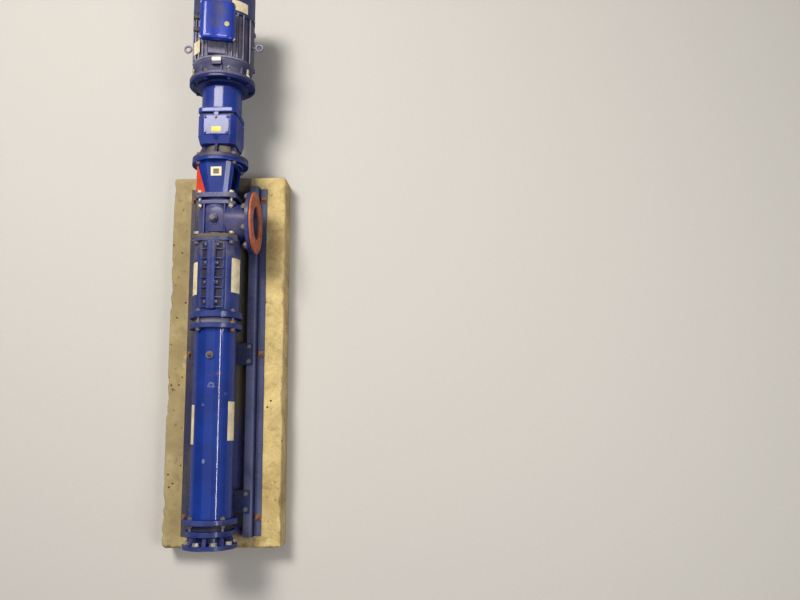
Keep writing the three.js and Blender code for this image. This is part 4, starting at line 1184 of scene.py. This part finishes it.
def make_gearbox_flange():
    """Round output flange that narrows to a neck, with six ribs from one to the other."""
    flange, neck = 17.7, 68
    start, end = span("gearbox_output_flange")
    radius = half_width("gearbox_output_flange")
    profile = [
        (0, start), (radius, start), (radius, start + flange), (84, start + 19), (neck + 2, start + 30),
        (neck, end), (0, end),
    ]
    rib = lofted(rectangle(-7, 7, 50, 108), rectangle(-6, 6, 50, 84), start + 16, end, 0.6)
    ribs = [turn(rib, k * 60) for k in range(6)]
    cast = merge(turned(profile, 3), *ribs)
    piece("gearbox_flange_cast", cast, SHADED_RECESS_PAINT, ["gearbox_output_flange"])
    bolt_set("output_flange_bolts", round_places(109, start + flange, FOUR), BACK, 14, DULL)


def make_gearbox_housing():
    """Cast housing with a sloping nose, a screwed lid, a waist that leaves two dark slots, a boss
    across them, and a square and a round rim behind them. Dust lies on the neck in front."""
    start, end = span("gearbox_housing")
    half = half_width("gearbox_housing")
    top, bottom = height("gearbox_housing", 1), height("gearbox_housing", 0)
    nose_end, slot, rim = start + 38, end - 36, end - 15
    full = cut_square(half, 24, bottom, top - 3)
    nose = cut_square(half - 8, 24, bottom + 8, top - 16)
    waist = cut_square(half - 9, 22, bottom + 8, top - 17)
    crown = cut_square(half - 1, 15, bottom, top)
    lid = [(-60, 80), (60, 80), (60, top - 2), (56, top), (-56, top), (-60, top - 2)]
    cone = turned([(0, start + 44), (25, start + 44), (12, start + 3), (0, start + 1)], 2, 48)
    body = [
        lofted(nose, full, start, nose_end, 2),
        swept(full, nose_end - 2, slot + 1, 1, 7),
        swept(waist, slot - 2, slot + 14, 0.5, 6),
        swept(crown, slot + 12, end - 1, 3, 11),
        turned([(0, rim), (half + 3, rim), (half + 3, end - 4), (half - 1, end), (0, end)], 3, 144),
        swept(lid, nose_end - 2, slot - 1, 3, 4),
        block(-12, 9, slot - 8, slot + 16, 78, top, 3),
        moved(turn(cone, 14, "X", (0, start + 20, 0)), (0, 0, 74)),
    ]
    for x in (-30, 30):
        low_end, high_end = rectangle(x - 4, x + 4, 60, 84), rectangle(x - 4, x + 4, 60, top - 2)
        body.append(lofted(low_end, high_end, start + 2, nose_end + 4, 1))
    piece("gearbox_housing_cast", merge(*body), DRIVE_PAINT, ["gearbox_housing"])
    shades = []
    for x0, x1 in ((-74, -13), (10, 74)):
        shades.append(block(x0, x1, slot - 0.5, slot + 11.5, top - 19, top - 14, 0.6))
    piece("gearbox_slot_shade", merge(*shades), RUBBER_AND_SHADE)
    coats = [bent_plate(69.5, start - 42, start - 3, *angles) for angles in ((-50, -8), (9, 52))]
    piece("gearbox_neck_dust", merge(*coats), OLIVE)
    screws = [(x, s, top - 0.3) for x in (-50, 50) for s in (start + 48, slot - 12)]
    bolt_set("gearbox_lid_screws", screws, (0, 0, 1), 7, DRIVE_PAINT, "drive_paint", head=4)
    # A black disc over the boss's hole, as painted shade.
    socket = upright(disc(6.5, top - 1, top + 0.4, 0.6, 24), -1, slot - 15)
    piece("gearbox_boss_hole_shade", socket, RUBBER_AND_SHADE)
    patch = swept(rounded(rectangle(-21, 21, -12, 12), 4), 0, 0.5, 0.2)
    patch = moved(laid_flat(patch, start + 62), (0, 0, top - 0.1))
    piece("gearbox_yellow_patch", patch, YELLOW)


def make_input_adapter():
    """Round adapter behind the gearbox, then the motor's flange, raised in its middle, with its
    bolts."""
    flange, spigot, spigot_depth, bolt_circle = 14, 118, 24, 134
    start, end = span("gearbox_input_adapter")
    adapter = turned([(0, start), (ADAPTER_R, start), (ADAPTER_R, end - 28), (0, end - 26)], 3, 160)
    piece("input_adapter_turned", adapter, DRIVE_PAINT, ["gearbox_input_adapter"])
    profile = [
        (60, end - 32), (ADAPTER_R, end - 32), (100, end - 30), (spigot, end - spigot_depth),
        (spigot, end - flange - 1), (bolt_circle, end - flange - 1), (MOTOR_FLANGE_R, end - flange),
        (MOTOR_FLANGE_R, end), (60, end),
    ]
    piece("motor_flange_turned", turned(profile, 3, 160), NAVY_PAINT)
    places = round_places(bolt_circle, end - flange, EIGHT + 2.5)
    bolt_set("motor_flange_bolts", places, FRONT, 11, NAVY_PAINT)


# Motor

def make_end_shield():
    """Casting that narrows behind the motor's flange and widens again to the frame, with ribs round
    it, and a lug and a grease nipple on top. Three of the flange's nuts are bare, on long bolts,
    and the others are dull, on short ones."""
    flange, rib_count, long_bolts = 15.7, 8, [-64, 69, 115]
    start, end = span("motor_end_shield")
    profile = [
        (0, start), (MOTOR_FLANGE_R, start), (MOTOR_FLANGE_R, start + flange), (128, start + 18),
        (118, start + 26), (124, end - 34), (132, end - 20), (137, end - 10), (137, end), (0, end),
    ]
    rib = block(-4, 4, start + 12, end - 12, 100, 131, 2.5)
    ribs = [turn(rib, k * 360 / rib_count + 10) for k in range(rib_count)]
    lug = block(-19, 25, end - 36, end - 6, 110, 141, 4)
    cast = merge(turned(profile, 5, 160), *ribs, lug)
    piece("end_shield_cast", cast, SHIELD_PAINT, ["motor_end_shield"])
    cap = block(-18, 24, end - 22, end - 2, 136, 145, 3)
    piece("shield_lug_cap", cap, LABEL)
    bolt_set("motor_flange_nuts", round_places(135, start + flange, long_bolts), BACK, 12, point=34)
    short = round_places(134, start + flange, [-20, 25, 160, 205, 250])
    bolt_set("motor_flange_short_nuts", short, BACK, 11, DULL, point=8)
    nipple_at = [24]
    nipple = turned([(0, 0), (5, 0), (5, 5), (3.2, 6), (3.2, 12), (4.2, 14), (2.4, 17), (0, 17)], 0.6, 16)
    nipple = placed(nipple, round_places(122, start + 40, nipple_at), round_places(1, 0, nipple_at))
    piece("grease_nipple", nipple, ZINC)


def make_motor_frame():
    """Frame drum with upright fins, side pads, feet and a pad for the terminal box. Each fin is a
    plate that ends on the tip circle, at the square root of tip^2 - x^2."""
    root, rim, tip, count, pitch, fin = 129, 137, 139, 13, 22, 8.0
    start, end = span("motor_frame")
    profile = [
        (0, start), (rim, start), (rim, start + 11), (126, start + 15), (root, start + 19),
        (root, end - 20), (126, end - 16), (rim + 0.6, end - 13), (rim + 0.6, end), (0, end),
    ]
    parts = [turned(profile, 3, 144)]
    for i in range(count):
        x = (i - (count - 1) / 2) * pitch
        outer = max(np.sqrt(tip ** 2 - x ** 2), 18)
        shape = [(x - fin / 2 - 1, 4), (x + fin / 2 + 1, 4), (x + fin / 2.6, outer), (x - fin / 2.6, outer)]
        parts += [swept(mirrored(shape, 1, up), start + 9, end - 11, 1.2, 1.2) for up in (1, -1)]
    for side in (1, -1):
        parts.append(block(side * 128 - 9, side * 128 + 9, start + 8, end - 10, -15, 15, 4))
        for s in (start + 24, end - 34):
            parts.append(block(side * 118 - 12, side * 118 + 12, s, s + 20, -100, -78, 3))
    pad = block(BOX_SHIFT - 40, BOX_SHIFT + 40, start + 12, end - 21, 90, 144, 5)
    parts.append(turn(pad, BOX_LEAN))
    piece("motor_frame_cast", merge(*parts), MOTOR_PAINT, ["motor_frame"])
    plate = turn(block(-25, 25, start + 33, start + 94, tip + 0.2, tip + 1.4, 0.4), -45)
    piece("motor_oval_plate", plate, LABEL)


def make_terminal_box():
    """Tray on a neck, leaning with the frame's pad, with two gland nuts in its side."""
    tray_half, tray_top, gland_z = 70.5, 184, 170
    start, end = span("terminal_box")
    neck = block(BOX_SHIFT - 37, BOX_SHIFT + 37, start + 12, end - 12, 144.3, 160, 8)
    tray = block(BOX_SHIFT - tray_half, BOX_SHIFT + tray_half, start, end, 156, tray_top, 8)
    box = turn(merge(neck, tray), BOX_LEAN)
    piece("terminal_box_cast", box, DRIVE_PAINT, ["terminal_box"])
    make_terminal_lid(tray_top + SEAT)
    profile = [(0, 0), (15, 0), (15, 11), (12.5, 12), (12.5, 24), (10, 32), (6, 34), (0, 34)]
    for i in (1, 2):
        name = f"cable_gland_{i}"
        place = (BOX_SHIFT - tray_half - SEAT, middle_of(name), gland_z)
        nut = placed(turned(profile, 1, 8), [place], (-1, 0, 0), 0)
        piece(name + "_nut", turn(nut, BOX_LEAN), PLASTIC, [name])


def make_terminal_lid(base):
    """Lid with a rim, long edges rolled to a quarter ellipse, a shallow trough along its top and an
    ear with a screw at each corner."""
    half, top, rim, edge_in, roll, trough = 77.5, 214, 7, 2, 32, 1.5
    start, end = span("terminal_box_lid")
    t = np.linspace(0, np.pi / 2, 10)[:-1]
    across, up = roll * np.cos(t), (top - base - rim) * np.sin(t)
    edge = np.stack([half - edge_in - roll + across, base + rim + up], -1)
    flat = np.array([(44, top), (20, top), (14, top - trough), (-14, top - trough), (-20, top), (-44, top)])
    right = np.concatenate([[(half, base), (half, base + rim - 1)], edge])
    outline = np.concatenate([right, flat, (right * [-1, 1])[::-1]])
    rolled = moved(swept(outline, start, end, 9), (BOX_SHIFT, 0, 0))
    edging = block(BOX_SHIFT - half, BOX_SHIFT + half, start, end, base, base + rim, 3)
    lid = turn(merge(rolled, edging), BOX_LEAN)
    piece("terminal_lid_cast", lid, LID_PAINT, ["terminal_box_lid"])
    ear_in, ear_top = 8, 2
    corners = [(x, s) for x in (ear_in - half, half - ear_in) for s in (start + ear_in, end - ear_in)]
    places = np.array([(BOX_SHIFT + x, s, base + rim) for x, s in corners])
    ears = placed(disc(9, -6, ear_top, 2, 24), places, (0, 0, 1))
    piece("terminal_lid_ears", turn(ears, BOX_LEAN), DRIVE_PAINT)
    screws = placed(bolt(8, 5), places + [0, 0, ear_top], (0, 0, 1))
    piece("terminal_lid_screws", turn(screws, BOX_LEAN), ZINC)
    patch = upright(disc(11, top - 0.3, top + 0.5, 0.2, 40), BOX_SHIFT + 40, start + 70)
    piece("lid_yellow_patch", turn(patch, BOX_LEAN), FADED_YELLOW)


def make_eyes():
    """Two forged eyes, each a ring of round wire on a short shank and collar."""
    ring, wire, foot = 15, 5, 135.5
    for name, side in (("lifting_eye_left", -1), ("lifting_eye_right", 1)):
        station = middle_of(name)
        loop = moved(ring_of_wire(ring, wire, 40, 16), (side * (farthest(name) - ring - wire), station, 0))
        shank = turned([(0, 0), (8, 0), (8, 4), (5.5, 6), (5.5, 16), (0, 18)], 1, 24)
        shank = placed(shank, [(side * foot, station, 0)], (side, 0, 0), 0)
        piece(name + "_forged", merge(loop, shank), MOTOR_PAINT, [name])


def make_cowl():
    """Pressed cowl whose shoulder is a quarter round: (r - q + q cos t, end - q + q sin t)."""
    inlet, sheet, roll = GRILLE_R, 3.2, 22
    start, end = span("fan_cowl")
    radius = half_width("fan_cowl")
    t = np.linspace(0, np.pi / 2, 8)
    shoulder = [(radius - roll + roll * np.cos(v), end - roll + roll * np.sin(v)) for v in t]
    inner = [(r - sheet * np.cos(v), s - sheet * np.sin(v)) for (r, s), v in zip(shoulder, t)][::-1]
    lip = [(inlet, end), (inlet, end - sheet)]
    profile = [(radius - sheet, start), (radius, start)] + shoulder + lip + inner
    piece("fan_cowl_pressed", turned(profile, 0.6, 160), COWL_PAINT, ["fan_cowl"])
    outwards = round_places(1, 0, FOUR + 45)
    bolt_set("cowl_screws", round_places(radius, start + 9, FOUR + 45), outwards, 7, head=3.5)
    sticker = bent_plate(radius + 0.1, start + 6, start + 54, 27, 61)
    piece("cowl_blank_sticker", sticker, LABEL)


def make_grille():
    """Rings of wire on six spokes about a small round plate."""
    wire, count = 1.4, 13
    end = span("fan_grille")[1]
    rings = []
    for radius in np.linspace(18, GRILLE_R - 2, count):
        points, faces = ring_of_wire(radius, wire, 128, 8)
        rings.append((points[:, [0, 2, 1]] + [0, end - 1.5, 0], faces))
    spokes = [turn(block(12, GRILLE_R - 0.5, end - 3, end - 0.6, -2, 2, 0.6), k * 60) for k in range(6)]
    hub = disc(19, end - 3, end, 1, 48)
    piece("fan_grille_wire", merge(hub, *rings, *spokes), DRIVE_PAINT, ["fan_grille"])


def make_fan():
    """Hub, back plate and seven slanted blades."""
    reach, count = 107, 7
    start, end = span("cooling_fan")
    hub = turned([(0, start), (30, start), (30, end - 8), (22, end), (0, end)], 2, 48)
    blade = turn(block(26, reach, start + 22, end, -2, 2, 1.2), 8, "X", (60, start + 30, 0))
    blades = [turn(blade, k * 360 / count) for k in range(count)]
    plate = disc(reach, start + 20, start + 24, 1, 96)
    piece("cooling_fan_moulded", merge(hub, plate, *blades), PLASTIC, ["cooling_fan"])


# Small fittings

def make_plates():
    """Blank plates laid on the round bodies over the angles that the photo shows."""
    for name, (radius, low, high) in PLATES.items():
        start, end = span(name)
        piece(name + "_blank", bent_plate(radius + SEAT, start, end, low, high), LABEL, [name])


def make_probe():
    """Gland on a saddle: a round boss, a hexagon nut and a thin stem."""
    station = middle_of("stator_probe")
    r = TUBE_R
    saddle = turned([(0, r - 6), (18, r - 6), (18, r + 6), (15, r + 9), (15, r + 11), (0, r + 11)], 1.5, 40)
    nut = turned([(0, r + 10), (10, r + 10), (10, r + 18), (6, r + 19), (6, r + 26), (0, r + 26)], 0.8, 6)
    piece("stator_probe_saddle", upright(saddle, 0, station), DUSTY_FLANGE_PAINT)
    piece("stator_probe_gland", upright(nut, 0, station), BRASS, ["stator_probe"])


# Camera, light and floor

CAMERA = {"x": 882, "station": 508, "height": 3518, "yaw": -0.60, "pitch": 8.95, "roll": 1.09}
PHOTO_WIDTH, FOCAL_PIXELS, SENSOR = 800, 800, 36


def make_camera():
    """The camera that the photo was taken with: its place in pump millimetres, then its turns."""
    data = bpy.data.cameras.new("camera")
    data.sensor_width = SENSOR
    data.lens = SENSOR * FOCAL_PIXELS / PHOTO_WIDTH
    camera = bpy.data.objects.new("camera", data)
    bpy.context.scene.collection.objects.link(camera)
    matrix = Matrix.Translation(world([[CAMERA["x"], CAMERA["station"], CAMERA["height"]]])[0])
    for name, axis in (("yaw", "Z"), ("pitch", "X"), ("roll", "Y")):
        matrix = matrix @ Matrix.Rotation(radians(CAMERA[name]), 4, axis)
    camera.matrix_world = matrix
    bpy.context.scene.camera = camera


def area_light(name, place, target, size, power, colour):
    """A rectangular lamp at a place in metres, facing a target."""
    data = bpy.data.lights.new(name, "AREA")
    data.shape = "RECTANGLE"
    data.size, data.size_y = size
    data.energy = power
    data.color = colour
    light = bpy.data.objects.new(name, data)
    bpy.context.scene.collection.objects.link(light)
    light.location = place
    light.rotation_euler = (Vector(target) - Vector(place)).to_track_quat("-Z", "Y").to_euler()
    return light


def make_floor():
    """A wide pale floor under the plinth."""
    reach = 9.0
    mesh = bpy.data.meshes.new("floor")
    corners = [(-reach, -reach, 0), (reach, -reach, 0), (reach, reach, 0), (-reach, reach, 0)]
    mesh.from_pydata(corners, [], [(0, 1, 2, 3)])
    floor = bpy.data.objects.new("floor", mesh)
    bpy.context.scene.collection.objects.link(floor)
    material, tree, shader = new_material("studio_floor")
    grain = noise(tree, object_place(tree), 60.0, 4.0)
    colour = blend_colour(tree, grain, (0.5, 0.49, 0.47, 1), (0.54, 0.53, 0.51, 1))
    finish_surface(tree, shader, colour, 0.9)
    mesh.materials.append(material)


def make_lamps():
    """A warm key, a fill from the right and a wide ceiling light the shapes. The other lamps are
    seen only as reflections: the line along the tube, and the gloss on the drive, on the terminal
    box's lid and on the lantern's right side. Their power is radiance times pi times area."""
    key = area_light("key", (-1.4, 2.5, 6.0), (0, 0.1, 0.3), (1.8, 1.8), 450, (1.0, 0.95, 0.87))
    fill = area_light("right_fill", (2.6, -1.3, 4.3), (0.1, -0.6, 0.2), (1.4, 1.4), 85, (1.0, 0.95, 0.88))
    for lamp in (key, fill):
        lamp.visible_glossy = False
    area_light("ceiling", (-1.2, -0.2, 5.2), (0, 0, 0.3), (3.6, 4.6), 45, (1.0, 0.97, 0.93))
    level, white, warm = 2.95, (1.0, 0.98, 0.97), (1.0, 0.93, 0.82)
    for name, x, y, size, radiance, colour in (
        ("tube_line", 2.24, -0.62, (0.2, 2.2), 70, white),
        ("drive_gloss", -0.5, 1.77, (2.5, 0.62), 27, warm),
        ("lid_gloss", -0.95, 2.32, (1.4, 0.42), 26, white),
        ("facet_gloss", 3.25, 0.53, (0.8, 0.8), 24, white),
    ):
        power = radiance * np.pi * size[0] * size[1]
        lamp = area_light(name, (x, y, level), (x, y, 0), size, power, colour)
        lamp.visible_diffuse = False


def make_backdrop():
    """Faint bluish light from all round, and colours shown as they are."""
    backdrop = bpy.data.worlds.new("studio")
    bpy.context.scene.world = backdrop
    backdrop.use_nodes = True
    background = backdrop.node_tree.nodes["Background"]
    background.inputs["Color"].default_value = (0.9, 0.92, 1.0, 1)
    background.inputs["Strength"].default_value = 0.12
    bpy.context.scene.view_settings.view_transform = "Standard"


make_camera()
make_floor()
make_lamps()
make_backdrop()
make_plinth()
make_rails()
make_ties()
make_saddles()
make_anchors()
make_discharge_cover()
make_clamps()
make_stator()
make_rotor()
make_shafts()
make_access_casing()
make_suction_casing()
make_lantern()
make_guard()
make_gearbox_flange()
make_gearbox_housing()
make_input_adapter()
make_end_shield()
make_motor_frame()
make_terminal_box()
make_eyes()
make_cowl()
make_grille()
make_fan()
make_plates()
make_probe()
